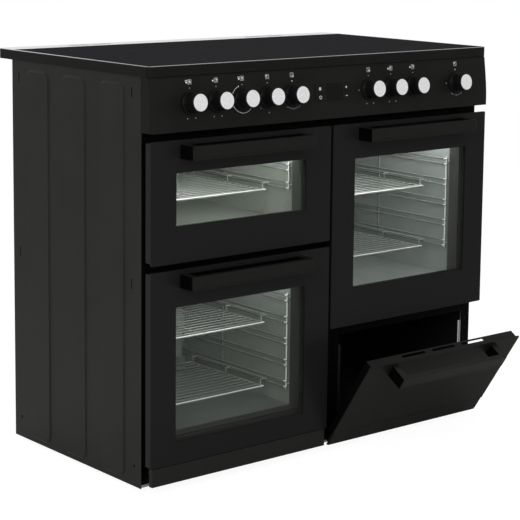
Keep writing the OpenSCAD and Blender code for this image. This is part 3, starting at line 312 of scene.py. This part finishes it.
# %% [markdown]
# The hob's rim is folded from the same painted sheet. Its narrow top lip is bare metal with a
# painted highlight that grows brighter towards the wall, and the vented strip behind the glass is
# bare metal as well, painted near white, partly a painted reflection of the pale surround.

# %% Rim paint with a painted highlight on its lip and rear strip
REAR_STRIP = FRONT_EDGE + 0.525
RIM_DEPTH = 0.56
LIP_HEIGHT = 0.0008


def rim_finish():
    finish = Finish("rim_paint_and_highlight")
    top = cad_box[1][2]
    clouds = finish.noise(0.07, 4.0)
    skin = finish.noise(SKIN_GRAIN, 2.0)
    lip = step(finish.z, top - LIP_HEIGHT, 0.0006)
    rear = step(finish.y, REAR_STRIP, 0.002) * lip
    away = ((finish.y - FRONT_EDGE) / RIM_DEPTH).clamped()
    paint_tone = finish.blend(step(clouds, 0.5, 0.5), srgb(15, 15, 14), srgb(19, 19, 18))
    # Painted highlight: the lip grows brighter towards the wall, and the rear strip's near white is
    # partly a painted reflection of the pale surround.
    lip_highlight = finish.blend(away, srgb(150, 150, 148), srgb(226, 226, 226))
    tone = finish.blend(lip, paint_tone, finish.blend(rear, lip_highlight, srgb(200, 200, 201)))
    shader = finish.surface(
        Base_Color=tone,
        Metallic=lip * 0.9,
        Roughness=0.42 + (clouds - 0.5) * 0.15 - lip * 0.12,
        Specular_IOR_Level=0.06,
        Normal=finish.bump(skin, 0.00003),
    )
    return finish.done(shader)


rim_paint_and_highlight = rim_finish()
print("rim paint ready")

# %% [markdown]
# The hob is a plate of black glass-ceramic. Seen this flat it would mirror the whole pale room,
# so its gloss is a small fixed share over a matte black ground. The cooking zones are printed on
# it as thin, faint grey rings, drawn by distance from each zone's centre, so they need no picture.

# %% Glass-ceramic with printed zones
ZONES = [(-0.340, 0.165, 0.090), (-0.340, 0.395, 0.0725), (0.0, 0.285, 0.115),
         (0.340, 0.165, 0.0725), (0.340, 0.395, 0.090)]
RING_LINE = 0.0006
HOB_GLOSS = 0.015


def hob_finish():
    finish = Finish("glass_ceramic")
    rings = None
    for x, depth, radius in ZONES:
        across = finish.x - x
        along = finish.y - (FRONT_EDGE + depth)
        away = ((across * across + along * along) ** 0.5 - radius).size()
        ring = 1 - step(away, RING_LINE, 0.0004)
        rings = ring if rings is None else rings.at_least(ring)
    speck = step(finish.noise(0.0006, 1.0), 0.66, 0.04)
    haze = finish.noise(0.2, 3.0)
    ground = finish.blend(speck * 0.25, srgb(21, 21, 24), srgb(48, 48, 52))
    tone = finish.blend(rings * 0.14, ground, srgb(110, 110, 112))
    soft = finish.bump(haze, 0.00001)
    ground_shader = finish.surface(
        Base_Color=tone, Roughness=0.4 + rings * 0.3, Specular_IOR_Level=0.0, Normal=soft
    )
    gloss = finish.node(
        "ShaderNodeBsdfGlossy", {},
        {"Color": srgb(255, 255, 255), "Roughness": 0.1 + haze * 0.12, "Normal": soft},
    )
    return finish.done(finish.node(
        "ShaderNodeMixShader", {}, {0: HOB_GLOSS, 1: ground_shader, 2: gloss}
    ))


hob_surface = hob_finish()
print(len(ZONES), "zones printed")

# %% [markdown]
# A door glass is one pane. Its back is screen printed black except for the window. So one material
# does both: a mask made from the distance to the window's outline fades the opacity from full to
# a light tint. The fade is a millimetre wide, as the edge of a print is. The patch of glass behind
# the handle is painted deeper black, a painted shade, since hardly any light reaches it.

# %% Door glass: black print with a clear window
WINDOW_WIDTH = 0.358
WINDOW_CORNER = 0.002
CLEAR_TINT = 0.12
WINDOWS = {
    "grill_door_glass": ((-0.252, 0.629), 0.114),
    "main_door_glass": ((-0.252, 0.255), 0.292),
    "tall_door_glass": ((0.252, 0.5255), 0.299),
}


def behind(finish, node):
    """1 on what lies straight behind a node as seen from the front, 0 elsewhere."""
    low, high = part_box(node)
    across = (finish.x - (low[0] + high[0]) / 2).size() - (high[0] - low[0]) / 2
    upward = (finish.z - (low[2] + high[2]) / 2).size() - (high[2] - low[2]) / 2
    return 1 - step(across.at_least(upward), -0.001, 0.003)


def door_glass_finish(name):
    centre, height = WINDOWS[name]
    finish = Finish(name + "_print")
    out = rounded_window(finish, centre, (WINDOW_WIDTH, height), WINDOW_CORNER)
    printed = step(out, 0.0, 0.0012)
    streaks = finish.noise(0.12, 3.0, (1, 1, 0.3))
    # Painted shade: the glass behind the handle is painted near black.
    shade = behind(finish, name.replace("_glass", "_handle"))
    print_and_shade = finish.blend(shade, srgb(24, 24, 24), srgb(1, 1, 1))
    tone = finish.blend(printed, srgb(40, 44, 42), print_and_shade)
    shader = finish.surface(
        Base_Color=tone,
        Alpha=CLEAR_TINT + printed * (1 - CLEAR_TINT),
        Roughness=0.26 + streaks * 0.08,
        Specular_IOR_Level=0.05,
        Normal=finish.bump(streaks, 0.00002),
    )
    return finish.done(shader)


door_glass = {name: door_glass_finish(name) for name in WINDOWS}
print(len(door_glass), "door glasses")

# %% [markdown]
# The inner pane of each door is plain clear glass that has been through many hot evenings: it
# keeps a faint brown film in upright streaks, as wiping leaves it.

# %% Inner glass
def inner_glass_finish():
    finish = Finish("inner_pane")
    film = finish.noise(0.06, 4.0, (1, 1, 0.4))
    shader = finish.surface(
        Base_Color=finish.blend(film, srgb(120, 124, 118), srgb(86, 84, 74)),
        Alpha=0.05 + film * 0.07,
        Roughness=0.06 + film * 0.08,
        Specular_IOR_Level=0.3,
    )
    return finish.done(shader)


inner_pane = inner_glass_finish()
print("inner pane ready")

# %% [markdown]
# Oven linings are steel with a fired enamel coat, grey-green with tiny pale and dark specks, and
# half glossy. Two sharp noises make the specks, and a slow one the unevenness of the coat. The
# part in front of the racks is much darker, and the floor is darker than the walls, above all in
# the main oven. Its mask is the way a face looks.

# %% Speckled enamel
RACK_FRONT = FRONT_EDGE + 0.064


def enamel_finish(name, ground, pale, dark, front, share, floor):
    finish = Finish(name)
    clouds = finish.noise(0.12, 4.0)
    pale_specks = step(finish.noise(0.0016, 1.0), 0.64, 0.03)
    dark_specks = step(finish.noise(0.0023, 1.0), 0.66, 0.03)
    soft = finish.blend(step(clouds, 0.5, 0.8), toned(ground, 0.93), ground)
    speckled = finish.blend(dark_specks * 0.6, finish.blend(pale_specks * 0.5, soft, pale), dark)
    before = (1 - step(finish.y, RACK_FRONT, 0.003)) * share
    upward = finish.facing()[2]
    walls = finish.blend(step(upward, 0.8, 0.1) * 0.8, speckled, floor)
    tone = finish.blend(before, walls, front)
    shader = finish.surface(
        Base_Color=tone,
        Roughness=0.42 + (clouds - 0.5) * 0.12,
        Specular_IOR_Level=0.3,
        Normal=finish.bump(pale_specks, 0.00002),
    )
    return finish.done(shader)


SPECKS = (srgb(214, 220, 212), srgb(96, 104, 98))
grill_enamel = enamel_finish("grill_enamel", srgb(168, 176, 166), *SPECKS,
                             front=srgb(68, 73, 66), share=0.94, floor=srgb(150, 157, 148))
main_enamel = enamel_finish("main_enamel", srgb(156, 164, 157), *SPECKS,
                            front=srgb(33, 32, 29), share=0.97, floor=srgb(102, 110, 109))
tall_enamel = enamel_finish("tall_enamel", srgb(168, 175, 172), *SPECKS,
                            front=srgb(58, 57, 54), share=0.95, floor=srgb(160, 167, 164))
print("three enamels")

# %% [markdown]
# A door's folded frame is seen twice. From outside it shows its painted edges, and on the main
# door its bottom strip. Round the window, behind the glass, it has the brown-grey coat that such
# frames get against the heat, darkest on the main oven. The mask is the same outline as the
# window's, but larger.

# %% Door frames
FRAME_COATS = {
    "grill_door_frame": (srgb(58, 61, 57), srgb(76, 79, 73)),
    "main_door_frame": (srgb(38, 37, 34), srgb(50, 48, 44)),
    "tall_door_frame": (srgb(46, 46, 44), srgb(60, 60, 57)),
}
COAT_WIDTH = 0.030


def door_frame_finish(name):
    centre, height = WINDOWS[name.replace("_frame", "_glass")]
    finish = Finish(name + "_enamel")
    out = rounded_window(finish, centre, (WINDOW_WIDTH, height), WINDOW_CORNER)
    outside = step(out, COAT_WIDTH, 0.004)
    clouds = finish.noise(0.05, 4.0)
    specks = step(finish.noise(0.002, 1.0), 0.64, 0.03)
    warm = finish.blend(clouds, *FRAME_COATS[name])
    coat = finish.blend(specks * 0.2, warm, srgb(110, 108, 102))
    shader = finish.surface(
        Base_Color=finish.blend(outside, coat, srgb(23, 23, 21)),
        Roughness=0.4 + (clouds - 0.5) * 0.16,
        Specular_IOR_Level=0.12,
        Normal=finish.bump(specks, 0.00003),
    )
    return finish.done(shader)


door_frames = {name: door_frame_finish(name) for name in FRAME_COATS}
print(len(door_frames), "door frames")

# %% [markdown]
# Bare metal is the back and base sheet, the elements and the fans. A slow noise changes the tone
# from place to place, as zinc and heat do, and a fine one breaks the gloss. For the fans the fine
# one is squeezed upwards, which leaves the lines of rolled sheet.

# %% Sheet metal and other metals
def metal(name, colour, roughness, grain, spread=0.15, stretch=(1, 1, 1)):
    finish = Finish(name)
    fine = finish.noise(grain, 3.0, stretch)
    slow = finish.noise(0.05, 3.0)
    shader = finish.surface(
        Base_Color=finish.blend(slow, toned(colour, 1 - spread), colour),
        Metallic=1.0,
        Roughness=roughness + (fine - 0.5) * 0.12,
        Normal=finish.bump(fine, 0.00003),
    )
    return finish.done(shader)


galvanised = metal("galvanised_sheet", srgb(164, 168, 170), 0.42, 0.02, spread=0.35)
element_steel = metal("element_steel", srgb(98, 88, 82), 0.42, 0.002, spread=0.3)
fan_metal = metal("fan_metal", srgb(196, 198, 200), 0.3, 0.001, stretch=(1, 1, 6))
print("three metals")

# %% [markdown]
# Racks and shelves are drawn wire with bright plating, which glitters where it meets the light.
# The wires nearest the door, which are the front uprights of the racks, the first millimetres of
# their rails and the front wire of each shelf, carry a painted highlight: they are painted almost
# white along their upper and left side and glow a little. The wire behind them is painted in the
# enamel's tone, a painted reflection of the walls. The mask is the depth behind the hob's front
# edge, times the way the wire's surface looks.

# %% Plated wire with a painted highlight
def wire_finish(name, bright_from, bright_to, back, glow):
    finish = Finish(name)
    depth = finish.y - FRONT_EDGE
    front = step(depth, bright_from, 0.001) * (1 - step(depth, bright_to, 0.001))
    sideways, _, upward = finish.facing()
    # Painted highlight: near white, with a glow, on the upper and left side of the front wires.
    painted_highlight = front * step(upward * 0.8 - sideways * 0.6, 0.35, 0.4)
    fine = finish.noise(0.0006, 3.0)
    shader = finish.surface(
        Base_Color=finish.blend(painted_highlight, back, srgb(250, 250, 250)),
        Metallic=0.4 - painted_highlight * 0.3,
        Roughness=0.2 + fine * 0.1,
        Emission_Color=finish.blend(painted_highlight, srgb(0, 0, 0), srgb(205, 208, 205)),
        Emission_Strength=glow,
        Normal=finish.bump(fine, 0.00003),
    )
    return finish.done(shader)


# Each wire's first colour is its rear tone, a painted reflection of the enamel round it; the last
# number is the glow of its painted highlight.
rack_wire = wire_finish("rack_wire", 0.050, 0.070, srgb(158, 166, 158), 0.35)
shelf_wire = wire_finish("shelf_wire", 0.120, 0.1315, srgb(186, 192, 186), 0.45)
print("two wires")

# %% [markdown]
# A knob is black plastic with a spun metal cap pressed into its end. The cap is the only thing
# that stands more than 34.4 mm off the panel, so its mask is the height above the leaning face.
# Spinning leaves rings, which are a sine of the distance from the knob's own axis. The grip has
# fine ridges, drawn only as lighter and darker stripes, a sine of the angle round that axis: a
# painted highlight and shade of the ridges.

# %% Knobs
LEAN = math.atan(15 / 115.5)
PANEL_OUT = Vector((0, -math.cos(LEAN), math.sin(LEAN)))
PANEL_UP = Vector((0, math.sin(LEAN), math.cos(LEAN)))
PANEL_FOOT = Vector((0, FRONT_EDGE - 0.0105, 0.772))
KNOB_UP = 0.058
CAP_RADIUS = 0.0180
CAP_FROM = 0.0344
SKIRT_HEIGHT = 0.008
RING_RATE = 9000
RIDGES = 36
KNOB_X = [-0.394, -0.324, -0.254, -0.184, -0.114, 0.114, 0.184, 0.254, 0.394]


def knob_finish(index):
    finish = Finish(f"knob_finish_{index + 1}")
    below = finish.y - PANEL_FOOT.y
    above = finish.z - PANEL_FOOT.z
    out = below * PANEL_OUT.y + above * PANEL_OUT.z
    up = below * PANEL_UP.y + above * PANEL_UP.z - KNOB_UP
    across = finish.x - KNOB_X[index]
    radius = (across * across + up * up) ** 0.5
    cap = step(out, CAP_FROM, 0.0002) * (1 - step(radius, CAP_RADIUS, 0.0003))
    rings = (radius * RING_RATE).wave()
    grain = finish.noise(0.0009, 2.0)
    brushed = finish.noise(0.004, 2.0, (1, 0.1, 1))
    spun = finish.blend(brushed, srgb(196, 196, 197), srgb(238, 238, 239))
    # Painted highlight and shade: the grip's ridges are only lighter and darker stripes of colour.
    painted_ridge_light = (across.angle_to(up) * RIDGES).wave() * 0.5 + 0.5
    grip = finish.blend(painted_ridge_light * step(out, SKIRT_HEIGHT, 0.001), srgb(3, 3, 3), srgb(26, 26, 26))
    shader = finish.surface(
        Base_Color=finish.blend(cap, grip, spun),
        Metallic=cap,
        Roughness=0.38 + grain * 0.06 - cap * 0.1,
        Specular_IOR_Level=0.08,
        Normal=finish.bump(rings * cap * 0.5 + grain * (1 - cap), 0.00002),
    )
    return finish.done(shader)


knob_finishes = [knob_finish(i) for i in range(len(KNOB_X))]
print(len(knob_finishes), "knob finishes")

# %% [markdown]
# What is left is plain stuff: moulded plastic for the feet and covers, rubber for the gaskets,
# pale pressed board for the heaters, smoked plastic for the timer and clear glass for the lamps.

# %% Plastics, rubber, board and lamp glass
def moulded(name, colour, roughness, grain=0.0007, depth=0.00004, gloss=0.4):
    finish = Finish(name)
    fine = finish.noise(grain, 3.0)
    slow = finish.noise(0.03, 2.0)
    shader = finish.surface(
        Base_Color=finish.blend(slow, toned(colour, 0.8), colour),
        Roughness=roughness + (fine - 0.5) * 0.1,
        Specular_IOR_Level=gloss,
        Normal=finish.bump(fine, depth),
    )
    return finish.done(shader)


black_plastic = moulded("black_plastic", srgb(26, 26, 26), 0.5)
gasket_rubber = moulded("gasket_rubber", srgb(30, 30, 30), 0.7, grain=0.0012, depth=0.0001)
heater_board = moulded("heater_board", srgb(214, 210, 200), 0.85, grain=0.003, depth=0.0002)
# The timer's window is smooth, and its smoked plastic is as dark as the panel round it.
timer_smoke = moulded("timer_smoke", srgb(18, 18, 17), 0.3, depth=0.000005, gloss=0.04)
switch_plastic = moulded("switch_plastic", srgb(208, 204, 190), 0.5)


def lamp_finish():
    finish = Finish("lamp_glass")
    ripple = finish.noise(0.004, 2.0)
    shader = finish.surface(
        Base_Color=srgb(240, 240, 232),
        Alpha=0.55 + ripple * 0.1,
        Roughness=0.1 + ripple * 0.1,
        Normal=finish.bump(ripple, 0.0002),
    )
    return finish.done(shader)


lamp_glass = lamp_finish()
print("plastics ready")

# %% [markdown]
# Each node now gets its finish. The loop stops at once if a node is forgotten, which is easier
# to put right here than in a picture.

# %% Give every node its finish
FINISH_OF = {
    "side_panel_left": side_paint, "side_panel_right": side_paint,
    "back_panel": galvanised, "base_panel": galvanised,
    "front_frame": inner_black, "air_outlet": inner_black,
    "levelling_feet": black_plastic, "terminal_cover": black_plastic,
    "hob_rim": rim_paint_and_highlight, "hob_glass": hob_surface, "radiant_heaters": heater_board,
    "fascia": front_paint, "timer_unit": timer_smoke, "switch_bodies": switch_plastic,
    "liner_grill_oven": grill_enamel, "liner_main_oven": main_enamel,
    "liner_tall_oven": tall_enamel, "fan_covers": main_enamel,
    "liner_storage": storage_shade_and_strip, "door_seals": gasket_rubber,
    "grill_element": element_steel, "ring_elements": element_steel,
    "fan_motors": galvanised, "oven_lamps": lamp_glass,
    "fan_main_oven": fan_metal, "fan_tall_oven": fan_metal,
    "flap_panel": front_paint, "flap_frame": flap_frame_paint,
}
for name in nodes:
    if name.startswith("shelf_"):
        FINISH_OF[name] = rack_wire if name == "shelf_racks" else shelf_wire
    elif name.startswith("key_"):
        FINISH_OF[name] = front_paint
    elif name.startswith("knob_"):
        FINISH_OF[name] = knob_finishes[int(name[5:]) - 1]
    elif name in door_glass:
        FINISH_OF[name] = door_glass[name]
    elif name.endswith("_inner_glass"):
        FINISH_OF[name] = inner_pane
    elif name.endswith("_handle"):
        FINISH_OF[name] = handle_paint_and_shade
    elif name in door_frames:
        FINISH_OF[name] = door_frames[name]
for name, node in nodes.items():
    node.data.materials.clear()
    node.data.materials.append(FINISH_OF[name])
print("finished", len(FINISH_OF), "nodes")

# %% [markdown]
# The printed marks on the control panel are flat shapes a tenth of a millimetre thick. Each is
# drawn as an outline on the panel, measured across and up the leaning face, and then raised into
# a closed thin solid. Discs, bars and arcs are enough for every mark.

# %% Drawing on the leaning panel
INK = 0.00012
INK_FOOT = -0.00005


class PanelPrint:
    def __init__(self, name, thickness=INK):
        self.name = name
        self.thickness = thickness
        self.mesh = bmesh.new()

    def outline(self, points):
        """A closed flat shape, given by its corners in turn."""
        def at(x, up, lift):
            return PANEL_FOOT + Vector((x, 0, 0)) + PANEL_UP * up + PANEL_OUT * lift
        low = [self.mesh.verts.new(at(x, up, INK_FOOT)) for x, up in points]
        high = [self.mesh.verts.new(at(x, up, self.thickness)) for x, up in points]
        count = len(points)
        self.mesh.faces.new(high)
        self.mesh.faces.new(low[::-1])
        for i in range(count):
            j = (i + 1) % count
            self.mesh.faces.new((low[i], low[j], high[j], high[i]))

    def disc(self, x, up, radius, sides=20):
        turns = [math.tau * i / sides for i in range(sides)]
        self.outline([(x + radius * math.cos(a), up + radius * math.sin(a)) for a in turns])

    def bar(self, start, end, width):
        start, end = Vector(start), Vector(end)
        along = end - start
        side = Vector((-along.y, along.x)).normalized() * width / 2
        corners = (start - side, end - side, end + side, start + side)
        self.outline([tuple(c) for c in corners])

    def arc(self, x, up, radius, width, start, end, pieces):
        """A ring section between two angles, in degrees from the right, anticlockwise."""
        inner, outer = radius - width / 2, radius + width / 2
        for i in range(pieces):
            a, b = (math.radians(start + (end - start) * k / pieces) for k in (i, i + 1))
            self.outline([
                (x + inner * math.cos(a), up + inner * math.sin(a)),
                (x + outer * math.cos(a), up + outer * math.sin(a)),
                (x + outer * math.cos(b), up + outer * math.sin(b)),
                (x + inner * math.cos(b), up + inner * math.sin(b)),
            ])

    def square(self, x, up, half, line):
        """The outline of a square."""
        for side in (-half, half):
            self.bar((x + side, up - half), (x + side, up + half), line)
        for side in (-half, half):
            self.bar((x - half, up + side), (x + half, up + side), line)

    def finished(self, material, body="cabinet", slot="panel_metal"):
        bmesh.ops.recalc_face_normals(self.mesh, faces=self.mesh.faces)
        data = bpy.data.meshes.new(self.name)
        self.mesh.to_mesh(data)
        self.mesh.free()
        data.materials.append(material)
        piece = bpy.data.objects.new(self.name, data)
        scene.collection.objects.link(piece)
        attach(piece, body)


def print_ink(name, colour):
    finish = Finish(name)
    fine = finish.noise(0.0005, 2.0)
    shader = finish.surface(
        Base_Color=finish.blend(fine, toned(colour, 0.85), colour),
        Roughness=0.5 + fine * 0.1,
    )
    return finish.done(shader)


white_ink = print_ink("white_ink", srgb(222, 222, 220))
grey_ink = print_ink("grey_ink", srgb(146, 146, 144))
print("inks ready")

# %% [markdown]
# Above every knob is a small pictogram: a square that stands for the hob or the oven, and a bright
# dot for the zone or the function that the knob works. Some have a second sign at their left, a
# bright dot, and two of these a pair of small dots more. Below is the dot for off. They are plain
# generic signs, drawn a little different for each knob.

# %% Pictograms and off dots
ICON_UP = 0.1025
ICON_HALF = 0.0046
ICON_SHIFT = 0.001
ICON_LINE = 0.0012
ICON_DOTS = 0.0022
DOT_UP = 0.0893
LOW_UP = KNOB_UP - 0.0315
# Where the bright dot lies in each square, as shares of half its side
BRIGHT_CORNER = [(0.1, 0.1), (0.3, 0.2), (0.2, 0.2), (-0.4, 0.4), (0.5, -0.5),
                 (0.5, -0.4), (-0.3, 0.2), (0.4, 0.3), (-0.4, 0.4)]
SECOND_SIGN, SMALL_PAIR, BRIGHT_OFF = (0, 1, 2, 6, 7), (0, 2), (4, 8)
icons = PanelPrint("knob_pictograms")
faint_marks = PanelPrint("knob_scales")
for index, x in enumerate(KNOB_X):
    middle = x + ICON_SHIFT
    faint_marks.square(middle, ICON_UP, ICON_HALF, ICON_LINE)
    for sx, sy in ((-1, -1), (-1, 1), (1, -1), (1, 1)):
        faint_marks.disc(middle + sx * ICON_DOTS, ICON_UP + sy * ICON_DOTS, 0.0012, 12)
    bright_x, bright_up = BRIGHT_CORNER[index]
    icons.disc(middle + bright_x * ICON_HALF, ICON_UP + bright_up * ICON_HALF, 0.0021)
    if index in SECOND_SIGN:
        icons.disc(x - 0.0075, ICON_UP - 0.0008, 0.0020)
    if index in SMALL_PAIR:
        icons.disc(x - 0.0095, ICON_UP + 0.0028, 0.0011, 12)
        icons.disc(x - 0.0060, ICON_UP + 0.0030, 0.0011, 12)
    if index in BRIGHT_OFF:
        icons.disc(x + 0.0004, DOT_UP, 0.0013)
    else:
        faint_marks.disc(x, DOT_UP, 0.0012)
print("pictograms for", len(KNOB_X), "knobs")

# %% [markdown]
# Round the knobs are the marks of their scales: two dots below four of them, a fan of short ticks
# below the last knob of each row, a dot or a short bar beside some others, and a thin arc round
# the third, which starts in a dot. The arc and its dot are white and the rest is grey.

# %% Scales
TWO_DOTS, TICKS, ONE_DOT, SIDE_BAR = (0, 1, 5, 6), (4, 8), (3,), (5, 8)
TICK_START, TICK_END, TICK_COUNT = 0.0280, 0.0302, 9
ARC_KNOB, ARC_RADIUS, ARC_FROM, ARC_TO = 2, 0.0295, 110, 320


def round_knob(x, radius, degrees):
    """A point of the panel at a distance and an angle from a knob's axis."""
    angle = math.radians(degrees)
    return x + radius * math.cos(angle), KNOB_UP + radius * math.sin(angle)


for index, x in enumerate(KNOB_X):
    if index in TWO_DOTS:
        faint_marks.disc(x - 0.0105, LOW_UP, 0.0013)
        faint_marks.disc(x + 0.0105, LOW_UP, 0.0013)
    if index in TICKS:
        for tick in range(TICK_COUNT):
            degrees = -125 + 70 * tick / (TICK_COUNT - 1)
            longer = 0.0010 if tick % 4 == 0 else 0
            faint_marks.bar(round_knob(x, TICK_START, degrees),
                            round_knob(x, TICK_END + longer, degrees), 0.0010)
    if index in ONE_DOT:
        faint_marks.disc(x, KNOB_UP - 0.033, 0.0013)
        faint_marks.disc(x - 0.022, KNOB_UP - 0.022, 0.0010)
    if index in SIDE_BAR:
        faint_marks.bar((x - 0.0335, KNOB_UP), (x - 0.0300, KNOB_UP), 0.0012)
icons.arc(KNOB_X[ARC_KNOB], KNOB_UP, ARC_RADIUS, 0.0007, ARC_FROM, ARC_TO, 40)
icons.disc(*round_knob(KNOB_X[ARC_KNOB], ARC_RADIUS, ARC_FROM), 0.0014)
icons.finished(white_ink)
faint_marks.finished(grey_ink)
print("an arc of", ARC_TO - ARC_FROM, "degrees and", TICK_COUNT, "ticks a scale")

# %% [markdown]
# The timer's four keys carry simple signs: a square of three rows, a clock, a plus and a minus.
# They sit on the keys themselves, so they move in with them when a key is pressed.

# %% Signs on the timer keys
KEY_LIFT = 0.0014
TIMER_X, TIMER_UP = 0.004, 0.058
KEY_X, KEY_UP = 0.039, 0.0095
SQUARE_HALF, ROW = 0.0029, 0.0023
CLOCK_RADIUS = 0.0034
ARM, ARM_GAP, ARM_LINE = 0.0027, 0.0006, 0.0012


def key_sign(name, side, row, draw):
    sign = PanelPrint(name, KEY_LIFT + INK)
    draw(sign, TIMER_X + side * KEY_X, TIMER_UP + row * KEY_UP)
    sign.finished(white_ink, name.replace("_sign", ""))


def square_sign(sign, x, up):
    for level in (up - ROW, up, up + ROW):
        sign.bar((x - SQUARE_HALF, level), (x + SQUARE_HALF, level), 0.0016)


def clock_sign(sign, x, up):
    sign.arc(x, up, CLOCK_RADIUS, 0.0008, 0, 360, 20)
    sign.bar((x, up), (x, up + 0.0018), 0.0004)
    sign.bar((x, up), (x + 0.0014, up), 0.0004)


def plus_sign(sign, x, up):
    sign.bar((x - ARM, up), (x - ARM_GAP, up), ARM_LINE)
    sign.bar((x + ARM_GAP, up), (x + ARM, up), ARM_LINE)
    sign.bar((x, up - ARM), (x, up + ARM), ARM_LINE)


def minus_sign(sign, x, up):
    sign.bar((x - ARM, up), (x + ARM, up), ARM_LINE)


key_sign("key_mode_sign", -1, 1, square_sign)
key_sign("key_clock_sign", -1, -1, clock_sign)
key_sign("key_plus_sign", 1, 1, plus_sign)
key_sign("key_minus_sign", 1, -1, minus_sign)
print("four key signs")

# %% [markdown]
# The room is only a pale floor and an even, pale surround. The surround is white where the camera,
# a reflection or a pane of glass sees it, and a softer grey as a source of light, so the paint
# renders about as it is written. For the camera alone the floor mostly glows, so it looks white
# too and still keeps a trace of the cooker's shadow.

# %% Floor and surround
def floor_finish():
    finish = Finish("studio_floor")
    grain = finish.noise(0.4, 3.0)
    seen = finish.node("ShaderNodeLightPath", out="Is Camera Ray")
    tone = finish.blend(grain, srgb(244, 244, 244), srgb(248, 248, 248))
    ground = finish.node("ShaderNodeBsdfDiffuse", {}, {"Color": tone})
    glow = finish.node("ShaderNodeEmission", {}, {"Color": (1, 1, 1, 1), "Strength": 1.1})
    mixed = finish.node("ShaderNodeMixShader", {}, {0: seen * 0.85, 1: ground, 2: glow})
    return finish.done(mixed)


FLOOR_HALF = 14.0
bpy.ops.mesh.primitive_plane_add(size=2 * FLOOR_HALF, location=(0, 0, 0))
floor = bpy.context.object
floor.name = "studio_floor"
floor.data.materials.append(floor_finish())

LIGHT_LEVEL = 0.5
world = bpy.data.worlds.new("studio_surround")
scene.world = world
world.use_nodes = True
surround = Network(world.node_tree)
rays = surround.node("ShaderNodeLightPath", out=None)
by_camera, by_gloss, by_glass = (
    Value(surround, rays.outputs[kind])
    for kind in ("Is Camera Ray", "Is Glossy Ray", "Is Transmission Ray")
)
seen = by_camera.at_least(by_gloss).at_least(by_glass)
sky = surround.node(
    "ShaderNodeBackground", {},
    {"Color": (1, 1, 1, 1), "Strength": seen * (1 - LIGHT_LEVEL) + LIGHT_LEVEL}
)
surround.node("ShaderNodeOutputWorld", {}, {"Surface": sky}, out=None)
print("surround at", LIGHT_LEVEL)

# %% [markdown]
# Three large soft lamps shape the cooker: one high on the left that lights the side panel, a
# weaker one in front for the doors, and a long one above for the hob's edge. Each oven has a small
# lamp of its own behind the top of its door, as if its light were on, which the camera doesn't
# see.

# %% Lamps
MIDDLE = FRONT_EDGE + 0.2925


def soft_lamp(name, place, target, size, watts):
    data = bpy.data.lights.new(name, "AREA")
    data.shape = "RECTANGLE"
    data.size, data.size_y = size
    data.energy = watts
    lamp = bpy.data.objects.new(name, data)
    scene.collection.objects.link(lamp)
    lamp.location = place
    direction = Vector(target) - Vector(place)
    lamp.rotation_euler = direction.to_track_quat("-Z", "Y").to_euler()
    return lamp


soft_lamp("left_lamp", (-3.2, MIDDLE - 2.2, 2.6), (-0.2, MIDDLE, 0.5), (2.2, 1.6), 60)
soft_lamp("front_lamp", (-0.6, MIDDLE - 3.8, 2.2), (0, MIDDLE - 0.2, 0.45), (3.0, 1.8), 40)
soft_lamp("top_lamp", (0, MIDDLE + 0.6, 3.2), (0, MIDDLE, 0.9), (2.4, 1.2), 25)

OVEN_LAMP_IN, OVEN_REAR = FRONT_EDGE + 0.045, FRONT_EDGE + 0.42
OVEN_LAMP_SIZE = (0.36, 0.02)
# Each oven's lamp: centre in x, height of its lamp, height it is aimed at, and power
OVEN_LIGHTS = {"grill": (-0.252, 0.715, 0.62, 0.7), "main": (-0.252, 0.425, 0.40, 0.50),
               "tall": (0.252, 0.715, 0.52, 0.85)}
for name, (x, lamp_z, aim_z, watts) in OVEN_LIGHTS.items():
    lamp = soft_lamp(f"{name}_oven_light", (x, OVEN_LAMP_IN, lamp_z), (x, OVEN_REAR, aim_z),
                     OVEN_LAMP_SIZE, watts)
    lamp.visible_camera = False
print(3 + len(OVEN_LIGHTS), "lamps")

# %% [markdown]
# The camera stands where the photographer stood: in front and to the left, a little above the hob,
# with a long lens. Its place, direction and lens were worked out from marked points of the picture.
# The picture is cropped off-centre, which a small shift of the lens reproduces.

# %% Camera
CAMERA_PLACE = Vector((-2.5627, FRONT_EDGE - 2.8413, 1.2234))
YAW, PITCH, ROLL = math.radians(39.716), math.radians(8.153), math.radians(0.596)
FOCAL_PIXELS = 1729.3
PICTURE = 520
LENS_CENTRE = 160

level = math.cos(PITCH)
forward = Vector((math.sin(YAW) * level, math.cos(YAW) * level, -math.sin(PITCH)))
level_right = Vector((math.cos(YAW), -math.sin(YAW), 0))
level_up = level_right.cross(forward)
right = level_right * math.cos(ROLL) + level_up * math.sin(ROLL)
up = level_up * math.cos(ROLL) - level_right * math.sin(ROLL)

lens = bpy.data.cameras.new("camera")
lens.sensor_width = 36
lens.lens = FOCAL_PIXELS / PICTURE * lens.sensor_width
lens.shift_y = (LENS_CENTRE - PICTURE / 2) / PICTURE
camera = bpy.data.objects.new("camera", lens)
scene.collection.objects.link(camera)
camera.matrix_world = Matrix((
    (right.x, up.x, -forward.x, CAMERA_PLACE.x),
    (right.y, up.y, -forward.y, CAMERA_PLACE.y),
    (right.z, up.z, -forward.z, CAMERA_PLACE.z),
    (0, 0, 0, 1),
))
scene.camera = camera
print("lens", round(lens.lens, 1), "mm")

# %% [markdown]
# The last step fixes the colours' view.

# %% Finish
scene.view_settings.view_transform = "Standard"
